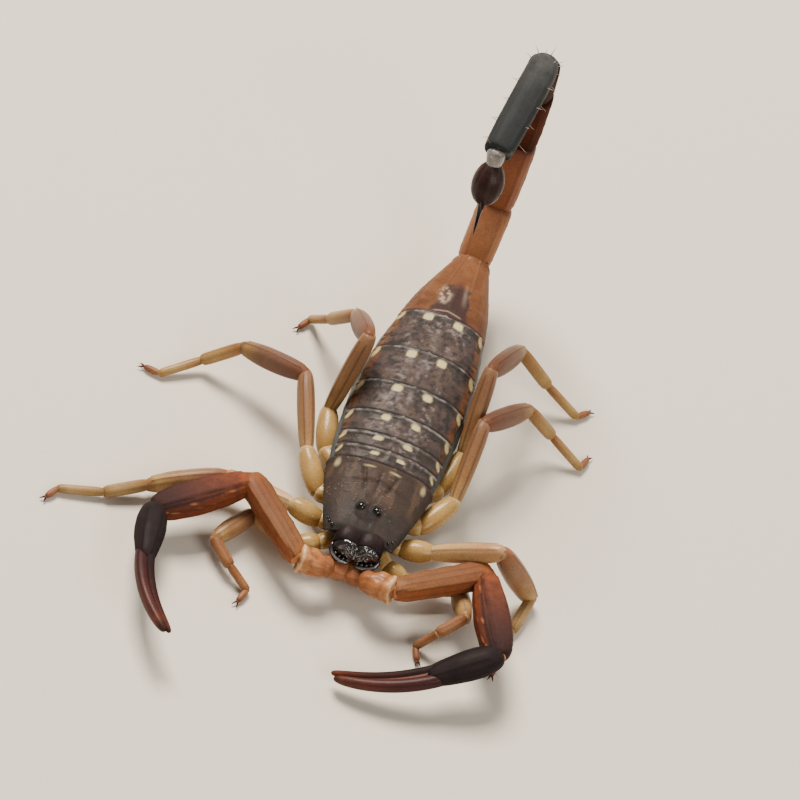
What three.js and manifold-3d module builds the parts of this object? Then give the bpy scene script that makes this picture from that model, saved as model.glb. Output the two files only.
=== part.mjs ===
// A rusty thick-tailed scorpion, life size, standing still on its eight feet with its tail curled
// forward over its back. Units are millimetres and +Z is up. The head looks along -Y, the tail
// rises at +Y, and the scorpion's own left side is +X.
import * as THREE from "three";
import { mergeVertices } from "three/addons/utils/BufferGeometryUtils.js";
import Module from "manifold-3d";

const wasm = await Module();
wasm.setup();

// ---------------------------------------------------------------- driving dimensions

// Clearance left between neighbouring plates and limb articles.
const GAP = 0.12;

// Height of the seam between the back plates and the belly plates.
const SEAM = 4.05;

// The trunk, as stations along y: half width, height of the back, height of the belly.
const TRUNK = [
  { y: -2.5, half: 2.55, back: 4.95, belly: 2.5 },
  { y: -1.2, half: 3.0, back: 5.25, belly: 2.3 },
  { y: 0.2, half: 3.35, back: 5.45, belly: 2.2 },
  { y: 2.0, half: 3.8, back: 5.75, belly: 2.15 },
  { y: 4.0, half: 4.15, back: 6.05, belly: 2.1 },
  { y: 6.5, half: 4.4, back: 6.45, belly: 2.1 },
  { y: 9.0, half: 4.55, back: 6.75, belly: 2.0 },
  { y: 12.0, half: 4.6, back: 6.9, belly: 1.9 },
  { y: 15.5, half: 4.4, back: 6.85, belly: 1.9 },
  { y: 18.0, half: 4.05, back: 6.6, belly: 2.0 },
  { y: 20.5, half: 3.6, back: 6.35, belly: 2.2 },
  { y: 23.5, half: 3.0, back: 6.05, belly: 2.5 },
  { y: 26.0, half: 2.25, back: 5.8, belly: 2.8 },
  { y: 28.4, half: 1.5, back: 5.6, belly: 3.1 },
];

// The trunk bends slightly to the animal's left towards the tail.
const SIDE_BEND = 1.25;
const SIDE_BEND_AT = 28.4;

// Where the carapace and the seven back plates begin and end along y.
const BACK_EDGES = [-2.5, 4.0, 5.2, 6.5, 8.6, 11.7, 15.6, 20.3, 28.3];

// Where the five belly plates begin and end along y.
const BELLY_EDGES = [6.6, 9.7, 12.8, 16.1, 20.4, 28.2];

// The tail: length, half width, half height, heading and pitch of each ring segment.
// A pitch over 90 degrees leans the segment forward over the back.
const TAIL_ROOT = [1.25, 28.75, 4.35];
const TAIL = [
  { length: 5.1, wide: 1.42, high: 1.28, heading: 5, pitch: 58 },
  { length: 6.1, wide: 1.4, high: 1.28, heading: 4, pitch: 77 },
  { length: 6.7, wide: 1.38, high: 1.28, heading: 4, pitch: 101 },
  { length: 7.5, wide: 1.28, high: 1.2, heading: 3, pitch: 123 },
  { length: 8.6, wide: 1.22, high: 1.12, heading: 8, pitch: 192 },
];
const TELSON = { heading: -8, pitch: 249 };

// The arms, as lengths shared by both sides and a pose for each side.
const ARM = { trochanter: 2.4, femur: 7.2, patella: 7.7, palm: 4.7, finger: 7.8 };
const ARM_ROOT = { x: 1.4, y: -4.5, z: 2.9 };
const ARM_POSES = {
  right: {
    side: -1,
    trochanter: { heading: -100, pitch: 12 },
    femur: { heading: -45, pitch: 3 },
    patella: { heading: -127, pitch: -9 },
    hand: { heading: 172, pitch: 5 },
    spread: 0.34,
  },
  left: {
    side: 1,
    trochanter: { heading: 98, pitch: 12 },
    femur: { heading: 56, pitch: 3 },
    patella: { heading: 159, pitch: 2 },
    hand: { heading: -125, pitch: -14 },
    spread: 0.46,
  },
};

// The legs, from the front pair to the rear pair. The sizes are half widths and half heights.
const LEGS = [
  {
    name: "leg_1",
    hip: { x: 2.7, y: -2.0, z: 2.35 },
    coxa: { length: 1.45, heading: 113, pitch: -10 },
    lengths: { femur: 4.5, patella: 4.3, tibia: 2.45, metatarsus: 2.2, tarsus: 1.25 },
    bulk: 1.0,
    right: { femur: [63, -12], patella: [151, 5], tibia: [-133, -8], foot: [-120, 163] },
    left: { femur: [68, -10], patella: [162, 23], tibia: [-137, -18], foot: [-105, 158] },
  },
  {
    name: "leg_2",
    hip: { x: 3.25, y: -0.1, z: 2.6 },
    coxa: { length: 2.15, heading: 82, pitch: 7 },
    lengths: { femur: 5.6, patella: 5.8, tibia: 3.35, metatarsus: 3.45, tarsus: 1.2 },
    bulk: 1.1,
    right: { femur: [79, -8], patella: [115, -9], tibia: [120, -10], foot: [107, 150] },
    left: { femur: [89, 28], patella: [76, -54], tibia: [-169, -5], foot: [-172, 178] },
  },
  {
    name: "leg_3",
    hip: { x: 4.1, y: 2.3, z: 2.85 },
    coxa: { length: 3.3, heading: 32, pitch: 12 },
    lengths: { femur: 6.45, patella: 5.7, tibia: 3.7, metatarsus: 3.5, tarsus: 1.35 },
    bulk: 1.08,
    right: { femur: [19, 13], patella: [70, -14], tibia: [97, -43], foot: [129, 80] },
    left: { femur: [2, 28], patella: [33, -16], tibia: [70, -48], foot: [100, 16] },
  },
  {
    name: "leg_4",
    hip: { x: 4.55, y: 6.35, z: 2.95 },
    coxa: { length: 3.5, heading: 13, pitch: 10 },
    lengths: { femur: 6.8, patella: 6.1, tibia: 4.35, metatarsus: 3.6, tarsus: 1.3 },
    bulk: 1.12,
    right: { femur: [-22, 66], patella: [17, -32], tibia: [44, -52], foot: [39, 150] },
    left: { femur: [-1, 40], patella: [18, -22], tibia: [78, -48], foot: [95, 40] },
  },
];

// Height of the last joint of a leg, and of the middle of the tarsus, over the floor.
const ANKLE = 0.42;
const TOE = 0.3;

// Base colours.
const COLOURS = {
  carapace: "#40383a",
  eye: "#08080a",
  chelicera: "#1c1719",
  tergite: "#4a3d3d",
  lastTergite: "#9a5f38",
  belly: "#a8906e",
  pecten: "#c2a878",
  tailFirst: "#9c5f33",
  tailMiddle: "#7a3c22",
  tailLast: "#3f4344",
  telson: "#2c1b1d",
  armRoot: "#b26a3b",
  armFemur: "#a1563a",
  armPatella: "#6a3a30",
  hand: "#3a3034",
  finger: "#5a2528",
  legFemur: "#b08c5e",
  legPatella: "#9b6a52",
  legFoot: "#b98145",
};

// ---------------------------------------------------------------- frames and bodies

const radians = THREE.MathUtils.degToRad;

// A smooth curve through the trunk stations for one of their values.
function stationCurve(key) {
  const along = TRUNK.map((station) => station.y);
  const values = TRUNK.map((station) => station[key]);
  const curve = new THREE.CubicInterpolant(along, values, 1, new Float64Array(1));
  return (y) => curve.evaluate(THREE.MathUtils.clamp(y, along[0], along.at(-1)))[0];
}

const halfWidth = stationCurve("half");
const backHeight = stationCurve("back");
const bellyHeight = stationCurve("belly");

// Sideways place of the trunk's middle line.
function middle(y) {
  return y > 0 ? SIDE_BEND * (y / SIDE_BEND_AT) ** 2 : 0;
}

// Direction of a heading and pitch: heading 0 is +Y and heading 90 is +X.
function direction(heading, pitch) {
  const flat = Math.cos(radians(pitch));
  return new THREE.Vector3(
    Math.sin(radians(heading)) * flat,
    Math.cos(radians(heading)) * flat,
    Math.sin(radians(pitch)),
  );
}

// A frame at a point: x is across, y is along the article and z is towards its upper side.
function frame(at, heading, pitch) {
  const along = direction(heading, pitch);
  const across = new THREE.Vector3(Math.cos(radians(heading)), -Math.sin(radians(heading)), 0);
  const up = new THREE.Vector3().crossVectors(across, along);
  return new THREE.Matrix4().makeBasis(across, along, up).setPosition(at);
}

// The point a given length along a heading and pitch from another point.
function travel(at, length, heading, pitch) {
  return at.clone().addScaledVector(direction(heading, pitch), length);
}

// A closed body through a row of rings. Each ring is an oval of half width wide, reaching up and
// down from its middle, at x, y, z of the article's frame, turned by tilt and yaw if they are given.
function loft(rings, around, power = 2) {
  const body = new THREE.SphereGeometry(1, around, rings.length + 1);
  const position = body.getAttribute("position");
  const columns = around + 1;
  const point = new THREE.Vector3();
  const turn = new THREE.Euler();
  for (let i = 0; i < position.count; i += 1) {
    const row = Math.floor(i / columns);
    const ring = rings[THREE.MathUtils.clamp(row - 1, 0, rings.length - 1)];
    const angle = ((i % columns) / around) * Math.PI * 2;
    const closing = row === 0 || row === rings.length + 1 ? 0 : 1;
    const c = -Math.cos(angle);
    const s = -Math.sin(angle);
    const reach = s > 0 ? ring.up : ring.down ?? ring.up;
    point.set(
      closing * ring.wide * Math.sign(c) * Math.abs(c) ** (2 / power),
      0,
      closing * reach * Math.sign(s) * Math.abs(s) ** (2 / power),
    );
    turn.set(ring.tilt ?? 0, 0, ring.yaw ?? 0, "ZXY");
    point.applyEuler(turn);
    position.setXYZ(i, point.x + (ring.x ?? 0), point.y + ring.y, point.z + (ring.z ?? 0));
  }
  return closed(body);
}

// The same geometry with only shared positions, as a solid needs.
function closed(geometry) {
  geometry.deleteAttribute("normal");
  geometry.deleteAttribute("uv");
  const merged = mergeVertices(geometry, 1e-3);
  merged.computeVertexNormals();
  return merged;
}

function toSolid(geometry) {
  return new wasm.Manifold(
    new wasm.Mesh({
      numProp: 3,
      vertProperties: new Float32Array(geometry.getAttribute("position").array),
      triVerts: new Uint32Array(geometry.index.array),
    }),
  );
}

function fromSolid(solid) {
  const mesh = solid.getMesh();
  const geometry = new THREE.BufferGeometry();
  geometry.setAttribute("position", new THREE.BufferAttribute(mesh.vertProperties, 3));
  geometry.setIndex(new THREE.BufferAttribute(mesh.triVerts, 1));
  geometry.computeVertexNormals();
  return geometry;
}

function join(...geometries) {
  return fromSolid(geometries.map(toSolid).reduce((whole, next) => whole.add(next)));
}

function cut(geometry, ...tools) {
  return fromSolid(tools.map(toSolid).reduce((rest, tool) => rest.subtract(tool), toSolid(geometry)));
}

// Half of space as a large block: everything further along normal than the point.
function halfSpace(point, normal) {
  const size = 16;
  const block = closed(new THREE.BoxGeometry(size, size, size));
  const turn = new THREE.Quaternion().setFromUnitVectors(new THREE.Vector3(0, 0, 1), normal);
  const centre = point.clone().addScaledVector(normal, size / 2);
  return block.applyMatrix4(new THREE.Matrix4().compose(centre, turn, new THREE.Vector3(1, 1, 1)));
}

// Trims two neighbouring articles to the plane that halves the bend between them.
function mitre(before, after, joint, into, out) {
  const normal = new THREE.Vector3().addVectors(into, out).normalize();
  const near = joint.clone().addScaledVector(normal, -GAP / 2);
  const far = joint.clone().addScaledVector(normal, GAP / 2);
  return [cut(before, halfSpace(near, normal)), cut(after, halfSpace(far, normal.negate()))];
}

// How far an article runs past a joint, so that its outer side meets its neighbour at the mitre.
function overrun(into, out, half) {
  return Math.min(0.9, 0.12 + half * Math.tan(into.angleTo(out) / 2));
}

// A slab under the floor, which trims each foot to a flat sole.
function floorSlab(at) {
  const slab = closed(new THREE.BoxGeometry(12, 12, 4));
  return slab.translate(at.x, at.y, -2);
}

const scorpion = new THREE.Group();
scorpion.name = "scorpion";

// Adds one named part to the model, placed by its frame.
function add(name, geometry, colour, roughness, place = new THREE.Matrix4()) {
  const material = new THREE.MeshStandardMaterial({ color: colour, roughness, metalness: 0 });
  const mesh = new THREE.Mesh(geometry, material);
  mesh.name = name;
  mesh.applyMatrix4(place);
  scorpion.add(mesh);
  return mesh;
}

// ---------------------------------------------------------------- trunk

// One ring of the back at y, drawn in by inset at its sides and lowered by drop on top.
function backRing(y, inset = 0, drop = 0) {
  return {
    x: middle(y),
    y,
    z: SEAM,
    wide: halfWidth(y) - inset,
    up: backHeight(y) - SEAM - drop,
    down: 0,
  };
}

// One ring of the belly at y.
function bellyRing(y, inset = 0, drop = 0) {
  return {
    x: middle(y),
    y,
    z: SEAM - GAP,
    wide: halfWidth(y) - inset,
    up: 0,
    down: SEAM - GAP - bellyHeight(y) - drop,
  };
}

function addCarapace() {
  const start = BACK_EDGES[0];
  const end = BACK_EDGES[1] - GAP;
  const rings = [
    { ...backRing(start, 0.35, 0.25), z: 4.3, up: 0.4 },
    { ...backRing(start + 0.15, 0, 0), z: 4.15, up: 0.8 },
  ];
  for (const y of [-1.3, -0.2, 1.1, 2.6]) {
    rings.push(backRing(y));
  }
  rings.push(backRing(end - 0.25), backRing(end, 0.15, 0.15));
  const shield = loft(rings, 14, 2.3);
  const hump = closed(new THREE.SphereGeometry(1, 12, 6));
  hump.scale(1.05, 0.85, 0.42).translate(0, 0.05, backHeight(0) - 0.12);
  const sockets = [-1, 1].map((side) => {
    const socket = closed(new THREE.SphereGeometry(0.35, 8, 6));
    return socket.translate(side * 0.6, -0.05, backHeight(0) + 0.12);
  });
  add("carapace", cut(join(shield, hump), ...sockets), COLOURS.carapace, 0.55);
  for (const [label, side] of [["right", -1], ["left", 1]]) {
    const eye = closed(new THREE.SphereGeometry(0.3, 8, 6));
    const place = new THREE.Matrix4().makeTranslation(side * 0.6, -0.05, backHeight(0) + 0.12);
    add(`median_eye_${label}`, eye, COLOURS.eye, 0.08, place);
  }
}

// The pair of jaws that stands out from under the front edge of the carapace.
function addChelicerae() {
  for (const [label, side] of [["right", -1], ["left", 1]]) {
    const block = loft(
      [
        { x: side * 0.98, y: -2.56, z: 4.2, wide: 0.8, up: 0.62 },
        { x: side * 0.98, y: -2.72, z: 4.2, wide: 0.93, up: 0.84 },
        { x: side * 0.98, y: -3.2, z: 4.15, wide: 0.96, up: 0.88 },
        { x: side * 0.97, y: -3.6, z: 4.06, wide: 0.88, up: 0.76 },
        { x: side * 0.94, y: -3.82, z: 3.98, wide: 0.64, up: 0.52 },
      ].reverse(),
      8,
      2.4,
    );
    const fangs = [0.32, -0.3].map((offset, index) =>
      loft(
        [
          { x: side * (0.93 + offset), y: -3.6, z: 3.85, wide: 0.34, up: 0.36 },
          { x: side * (0.93 + offset), y: -3.95, z: 3.72, wide: 0.27, up: 0.29 },
          { x: side * (0.93 + offset * 0.4), y: -4.14 - index * 0.06, z: 3.55, wide: 0.12, up: 0.14 },
        ].reverse(),
        6,
      ),
    );
    add(`chelicera_${label}`, join(block, ...fangs), COLOURS.chelicera, 0.25);
  }
}

// Seven overlapping back plates, each tucked in at its front edge and lipped at its rear edge.
function addBackPlates() {
  for (let i = 1; i < BACK_EDGES.length - 1; i += 1) {
    const start = BACK_EDGES[i];
    const end = BACK_EDGES[i + 1] - GAP;
    const length = end - start;
    const rings = [backRing(start, 0.2, 0.16), backRing(start + length * 0.3, 0.03, 0.03)];
    if (length > 4) {
      rings.push(backRing(start + length * 0.5, 0, 0));
    }
    rings.push(backRing(start + length * 0.75, 0, -0.02), backRing(end, 0.08, 0));
    if (length > 6) {
      rings.splice(3, 0, backRing(start + length * 0.62, 0, 0));
    }
    const colour = i === 7 ? COLOURS.lastTergite : COLOURS.tergite;
    add(`tergite_${i}`, loft(rings, 12, 2.25), colour, 0.5);
  }
}

// The underside of the head region: the bases of the arms and legs round the breastplate.
function addUnderside() {
  const rings = [
    { x: 0, y: -2.3, z: 3.6, wide: 2.0, up: 0.1, down: 1.0 },
    { x: 0, y: -1.6, z: 3.75, wide: 2.5, up: 0.1, down: 1.3 },
    { x: 0, y: 0.2, z: 3.8, wide: 3.0, up: 0.1, down: 1.55 },
    { x: 0, y: 2.2, z: 3.8, wide: 3.55, up: 0.1, down: 1.6 },
    { x: 0, y: 4.4, z: 3.8, wide: 3.8, up: 0.1, down: 1.65 },
    { x: 0, y: 6.4, z: 3.8, wide: 3.7, up: 0.1, down: 1.55 },
  ];
  const pieces = [loft(rings, 12, 2.5)];
  for (const side of [-1, 1]) {
    pieces.push(
      loft(
        [
          { x: side * 0.78, y: -5.0, z: 2.75, wide: 0.3, up: 0.32 },
          { x: side * 0.8, y: -4.75, z: 2.75, wide: 0.52, up: 0.5 },
          { x: side * 0.85, y: -3.9, z: 2.65, wide: 0.72, up: 0.5 },
          { x: side * 1.25, y: -2.2, z: 2.6, wide: 0.95, up: 0.6 },
          { x: side * 1.5, y: -1.0, z: 2.7, wide: 0.8, up: 0.5 },
        ],
        8,
      ),
      loft(
        [
          { x: side * 2.6, y: 2.6, z: 2.75, wide: 0.6, up: 0.55 },
          { x: side * 3.5, y: 4.4, z: 2.85, wide: 0.8, up: 0.72 },
          { x: side * 4.15, y: 5.9, z: 2.95, wide: 0.72, up: 0.7 },
          { x: side * 4.25, y: 6.15, z: 2.95, wide: 0.5, up: 0.5 },
        ],
        8,
      ),
    );
  }
  add("coxosternum", join(...pieces), COLOURS.belly, 0.5);
}

// Five belly plates behind the combs.
function addBellyPlates() {
  for (let i = 0; i < BELLY_EDGES.length - 1; i += 1) {
    const start = BELLY_EDGES[i];
    const end = BELLY_EDGES[i + 1] - GAP;
    const length = end - start;
    const rings = [bellyRing(start, 0.55, 0.15), bellyRing(start + length * 0.3, 0.4, 0)];
    if (length > 6) {
      rings.push(bellyRing(start + length * 0.55, 0.3, 0));
    }
    rings.push(bellyRing(start + length * 0.8, 0.25, 0), bellyRing(end, 0.3, 0));
    add(`sternite_${i + 3}`, loft(rings, 12, 2.6), COLOURS.belly, 0.5);
  }
}

// The two combs under the body: a thin spine with a row of teeth along its rear edge.
function addCombs() {
  const length = 5.2;
  const teeth = 13;
  for (const [label, side] of [["right", -1], ["left", 1]]) {
    const outline = new THREE.Shape();
    outline.moveTo(0, 0);
    outline.lineTo(length, -0.12);
    outline.lineTo(length + 0.15, 0.35);
    for (let i = teeth; i > 0; i -= 1) {
      const right = (length * (i - 0.08)) / teeth;
      const left = (length * (i - 0.92)) / teeth;
      const depth = 1.0 + 0.35 * Math.sin((Math.PI * i) / teeth);
      outline.lineTo(right, depth);
      outline.lineTo(left, depth);
      outline.lineTo(left - length * 0.08 / teeth, 0.62);
    }
    const comb = new THREE.ExtrudeGeometry(outline, { depth: 0.45, bevelEnabled: false });
    const rear = side > 0 ? comb : comb.rotateY(Math.PI).translate(0, 0, 0.45);
    const place = new THREE.Matrix4().makeRotationZ(side > 0 ? radians(33) : radians(-33));
    place.setPosition(side * 0.65, 5.3, 1.5);
    add(`pecten_${label}`, closed(rear), COLOURS.pecten, 0.5, place);
  }
}

// ---------------------------------------------------------------- tail

function addTail() {
  let at = new THREE.Vector3(...TAIL_ROOT);
  const bodies = [];
  const joints = [];
  const ways = TAIL.map(({ heading, pitch }) => direction(heading, pitch));
  TAIL.forEach(({ length, wide, high, heading, pitch }, index) => {
    const slim = index === 4 ? 0.62 : 0.8;
    const start = index > 0 ? overrun(ways[index - 1], ways[index], high) : -0.1;
    const end = index < 4 ? overrun(ways[index], ways[index + 1], high) : -0.15;
    const rings = [
      { y: -start, wide: wide * 0.62, up: high * 0.45, down: high * 0.62 },
      { y: 0.45, wide: wide * 0.88, up: high * slim * 0.8, down: high * 0.9 },
      { y: length * 0.25, wide: wide * 0.98, up: high * (slim + 0.08), down: high * 0.98 },
      { y: length * 0.6, wide, up: high * 0.96, down: high },
      { y: length - 0.6, wide: wide * 0.98, up: high * 0.92, down: high * 0.98 },
      { y: length + end, wide: wide * 0.8, up: high * 0.62, down: high * 0.82 },
    ];
    bodies.push(loft(rings, 10, 2.7).applyMatrix4(frame(at, heading, pitch)));
    at = travel(at, length, heading, pitch);
    joints.push({ at, way: ways[index] });
  });
  for (let i = 0; i < bodies.length - 1; i += 1) {
    const { at: joint, way } = joints[i];
    [bodies[i], bodies[i + 1]] = mitre(bodies[i], bodies[i + 1], joint, way, joints[i + 1].way);
  }
  const { tailFirst, tailMiddle, tailLast } = COLOURS;
  const colours = [tailFirst, tailFirst, tailMiddle, tailMiddle, tailLast];
  bodies.forEach((body, index) => add(`metasoma_${index + 1}`, body, colours[index], 0.5));
  addTelson(at);
}

// The venom bulb with its curved sting and the small tooth under the sting.
function addTelson(at) {
  const bulb = loft(
    [
      { y: 0.12, z: 0, wide: 0.44, up: 0.4 },
      { y: 0.7, z: 0, wide: 0.5, up: 0.45, down: 0.48 },
      { y: 1.15, z: 0, wide: 0.62, up: 0.5, down: 0.6 },
      { y: 1.65, z: -0.04, wide: 0.98, up: 0.68, down: 0.95 },
      { y: 2.5, z: -0.08, wide: 1.18, up: 0.8, down: 1.16 },
      { y: 3.3, z: -0.06, wide: 1.08, up: 0.74, down: 1.08 },
      { y: 4.0, z: 0.02, wide: 0.7, up: 0.55, down: 0.7 },
      { y: 4.4, z: 0.12, wide: 0.42, up: 0.38, down: 0.42 },
      { y: 4.9, z: 0.16, wide: 0.3, up: 0.3, tilt: -0.05 },
      { y: 5.5, z: 0.08, wide: 0.26, up: 0.26, tilt: -0.25 },
      { y: 6.1, z: -0.16, wide: 0.22, up: 0.22, tilt: -0.5 },
      { y: 6.55, z: -0.48, wide: 0.16, up: 0.16, tilt: -0.75 },
      { y: 6.85, z: -0.85, wide: 0.08, up: 0.08, tilt: -0.95 },
    ],
    8,
  );
  const tooth = loft(
    [
      { y: 3.75, z: -0.55, wide: 0.3, up: 0.3, tilt: -0.6 },
      { y: 4.3, z: -0.75, wide: 0.2, up: 0.2, tilt: -0.5 },
      { y: 4.6, z: -0.9, wide: 0.08, up: 0.08, tilt: -0.4 },
    ],
    6,
  );
  add("telson", join(bulb, tooth), COLOURS.telson, 0.3, frame(at, TELSON.heading, TELSON.pitch));
}

// ---------------------------------------------------------------- arms

// An article that starts narrow at its joint, swells, and narrows again at its far joint.
function armArticle(length, wide, high, start, end) {
  return loft(
    [
      { y: -start, wide: wide * 0.66, up: high * 0.66 },
      { y: 0.7, wide: wide * 0.86, up: high * 0.88 },
      { y: length * 0.45, wide, up: high },
      { y: length * 0.8, wide: wide * 0.97, up: high * 0.98 },
      { y: length + end, wide: wide * 0.62, up: high * 0.66 },
    ],
    10,
    2.6,
  );
}

// A long finger that bends towards the body, from its root beside the middle of the palm's end.
function fingerRings(root, rise, inward, length, wide, high, back = 0) {
  const rings = [];
  const steps = 5;
  let x = root;
  let y = ARM.palm - 0.1;
  for (let i = 0; i <= steps; i += 1) {
    const share = i / steps;
    const yaw = -inward * radians(2 + 36 * share);
    const size = 1 - 0.7 * share ** 2.4;
    const start = i === 0 ? back : 0;
    const z = rise * (1 - share);
    const beside = x - root * 0.5 * share ** 1.5;
    rings.push({ x: beside, y: y + start, z, wide: wide * size, up: high * size, yaw });
    x += (inward * Math.sin(Math.abs(yaw)) * length) / steps;
    y += (Math.cos(yaw) * length) / steps;
  }
  return rings;
}

function addArm(label, pose) {
  const root = new THREE.Vector3(pose.side * ARM_ROOT.x, ARM_ROOT.y, ARM_ROOT.z);
  const { side: inward, spread } = pose;
  const places = {};
  const joints = [];
  let at = root;
  for (const part of ["trochanter", "femur", "patella", "hand"]) {
    const { heading, pitch } = pose[part];
    places[part] = frame(at, heading, pitch);
    joints.push({ at, way: direction(heading, pitch) });
    at = travel(at, ARM[part] ?? 0, heading, pitch);
  }

  let trochanter = loft(
    [
      { y: 0.15, wide: 0.5, up: 0.5 },
      { y: 0.5, wide: 0.86, up: 0.82 },
      { y: 1.2, wide: 0.95, up: 0.9 },
      { y: 2.1, wide: 1.05, up: 1.0 },
      { y: ARM.trochanter + 0.02, wide: 0.9, up: 0.86 },
    ],
    8,
    2.3,
  ).applyMatrix4(places.trochanter);
  const past = (index, half) => overrun(joints[index - 1].way, joints[index].way, half);
  let femur = armArticle(ARM.femur, 0.95, 0.86, 0.1, past(2, 0.95)).applyMatrix4(places.femur);
  let patella = armArticle(ARM.patella, 1.34, 1.02, past(2, 0.95), past(3, 0.6));
  patella = patella.applyMatrix4(places.patella);
  const palm = loft(
    [
      { y: -past(3, 0.6), wide: 0.62, up: 0.55 },
      { y: 0.5, wide: 1.06, up: 0.94 },
      { y: 1.5, wide: 1.28, up: 1.12 },
      { y: 2.5, wide: 1.28, up: 1.1 },
      { y: 3.7, wide: 0.7 + spread, up: 0.94 },
      { y: ARM.palm + 0.1, wide: 0.5 + spread, up: 0.72 },
    ],
    8,
    2.3,
  );
  const [inner, outer] = [inward * spread, -0.9 * inward * spread];
  const fixed = loft(fingerRings(inner, 0.04, inward, ARM.finger, 0.43, 0.52, -0.7), 8, 2.3);
  const moving = loft(fingerRings(outer, -0.04, inward, ARM.finger + 0.2, 0.48, 0.57), 8, 2.3);
  const notch = loft(fingerRings(outer, -0.04, inward, ARM.finger + 0.2, 0.57, 0.68, -0.3), 8, 2.3);
  let hand = cut(join(palm, fixed), notch).applyMatrix4(places.hand);
  moving.applyMatrix4(places.hand);

  const bend = (one, two, index) =>
    mitre(one, two, joints[index].at, joints[index - 1].way, joints[index].way);
  [trochanter, femur] = bend(trochanter, femur, 1);
  [femur, patella] = bend(femur, patella, 2);
  [patella, hand] = bend(patella, hand, 3);
  add(`arm_trochanter_${label}`, trochanter, COLOURS.armRoot, 0.4);
  add(`arm_femur_${label}`, femur, COLOURS.armFemur, 0.45);
  add(`arm_patella_${label}`, patella, COLOURS.armPatella, 0.45);
  add(`arm_hand_${label}`, hand, COLOURS.hand, 0.45);
  add(`arm_moving_finger_${label}`, moving, COLOURS.finger, 0.4);
}

// ---------------------------------------------------------------- legs

// A leg article in its own frame: narrower at both joints, deepest near its middle.
function legArticle(length, wide, high, ends, start = 0.1, end = 0.1, around = 8) {
  return loft(
    [
      { y: -start, wide: wide * ends, up: high * ends },
      { y: length * 0.24, wide: wide * 0.94, up: high * 0.94 },
      { y: length * 0.7, wide, up: high },
      { y: length + end, wide: wide * ends, up: high * ends },
    ],
    around,
    2.3,
  );
}

function addLeg(leg, label, side) {
  const pose = leg[label];
  const size = leg.bulk;
  const { femur, patella, tibia, metatarsus, tarsus } = leg.lengths;
  const hip = new THREE.Vector3(side * leg.hip.x, leg.hip.y, leg.hip.z);

  // The chain of joints, each with the frame of the article that starts there.
  const joints = [];
  let at = hip;
  const step = (length, heading, pitch) => {
    const way = direction(side * heading, pitch);
    joints.push({ at, way, place: frame(at, side * heading, pitch) });
    at = at.clone().addScaledVector(way, length);
  };
  const fall = (height, length) =>
    THREE.MathUtils.radToDeg(Math.asin(THREE.MathUtils.clamp((height - at.z) / length, -1, 1)));
  step(leg.coxa.length, leg.coxa.heading, leg.coxa.pitch);
  step(femur, ...pose.femur);
  step(patella, ...pose.patella);
  step(tibia, ...pose.tibia);
  step(metatarsus, pose.foot[0], fall(ANKLE, metatarsus));
  step(tarsus, pose.foot[1], fall(TOE, tarsus));

  const reach = leg.coxa.length;
  const trochanter = loft(
    [
      { y: 0.0, wide: 0.44 * size, up: 0.48 * size },
      { y: reach * 0.35, wide: 0.68 * size, up: 0.74 * size },
      { y: reach * 0.75, wide: 0.66 * size, up: 0.74 * size },
      { y: reach + 0.25, wide: 0.36 * size, up: 0.44 * size },
    ],
    6,
  ).applyMatrix4(joints[0].place);
  const past = (index, half) => overrun(joints[index - 1].way, joints[index].way, half);
  const kneePast = past(2, 0.5);
  const shinPast = past(3, 0.35);
  const thigh = legArticle(femur, 0.58 * size, 0.76 * size, 0.65, 0.1, kneePast);
  thigh.applyMatrix4(joints[1].place);
  let upper = join(trochanter, thigh);
  let knee = legArticle(patella, 0.6 * size, 0.84 * size, 0.62, kneePast, shinPast);
  knee = knee.applyMatrix4(joints[2].place);
  const shin = legArticle(tibia, 0.38 * size, 0.44 * size, 0.8, shinPast, 0.1, 6);
  shin.applyMatrix4(joints[3].place);
  const instep = legArticle(metatarsus, 0.3 * size, 0.34 * size, 0.85, 0.1, 0.1, 6);
  instep.applyMatrix4(joints[4].place);
  const toe = loft(
    [
      { y: -0.1, wide: 0.25, up: 0.25 },
      { y: 0.3, wide: 0.29, up: 0.26, down: 0.44 },
      { y: tarsus * 0.75, wide: 0.29, up: 0.25, down: 0.44 },
      { y: tarsus, wide: 0.2, up: 0.18, down: 0.34 },
    ],
    6,
    2.4,
  ).applyMatrix4(joints[5].place);
  let foot = cut(join(shin, instep, toe), floorSlab(joints[5].at));
  [upper, knee] = mitre(upper, knee, joints[2].at, joints[1].way, joints[2].way);
  [knee, foot] = mitre(knee, foot, joints[3].at, joints[2].way, joints[3].way);
  add(`${leg.name}_femur_${label}`, upper, COLOURS.legFemur, 0.4);
  add(`${leg.name}_patella_${label}`, knee, COLOURS.legPatella, 0.4);
  add(`${leg.name}_foot_${label}`, foot, COLOURS.legFoot, 0.4);
}

// ---------------------------------------------------------------- the whole animal

addCarapace();
addChelicerae();
addBackPlates();
addUnderside();
addBellyPlates();
addCombs();
addTail();
for (const [label, pose] of Object.entries(ARM_POSES)) {
  addArm(label, pose);
}
for (const leg of LEGS) {
  addLeg(leg, "right", -1);
  addLeg(leg, "left", 1);
}

// The origin is the middle of the outer box's underside, at floor level.
scorpion.updateMatrixWorld(true);
const box = new THREE.Box3().setFromObject(scorpion, true);
const centre = box.getCenter(new THREE.Vector3());
for (const mesh of scorpion.children) {
  mesh.position.sub(new THREE.Vector3(centre.x, centre.y, box.min.z));
}

export default scorpion;
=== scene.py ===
"""A rusty thick-tailed scorpion, life size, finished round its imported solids.

Pieces are modelled on a bench in millimetres: x across, y along the piece and z to its upper side.
Each finished piece is then seated in the animal's own frame and scaled to metres.
"""

import itertools
import logging
import math
from collections.abc import Callable, Iterable, Sequence
from dataclasses import dataclass, field
from enum import Enum

import bpy
import numpy as np
from mathutils import Matrix, Vector


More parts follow.
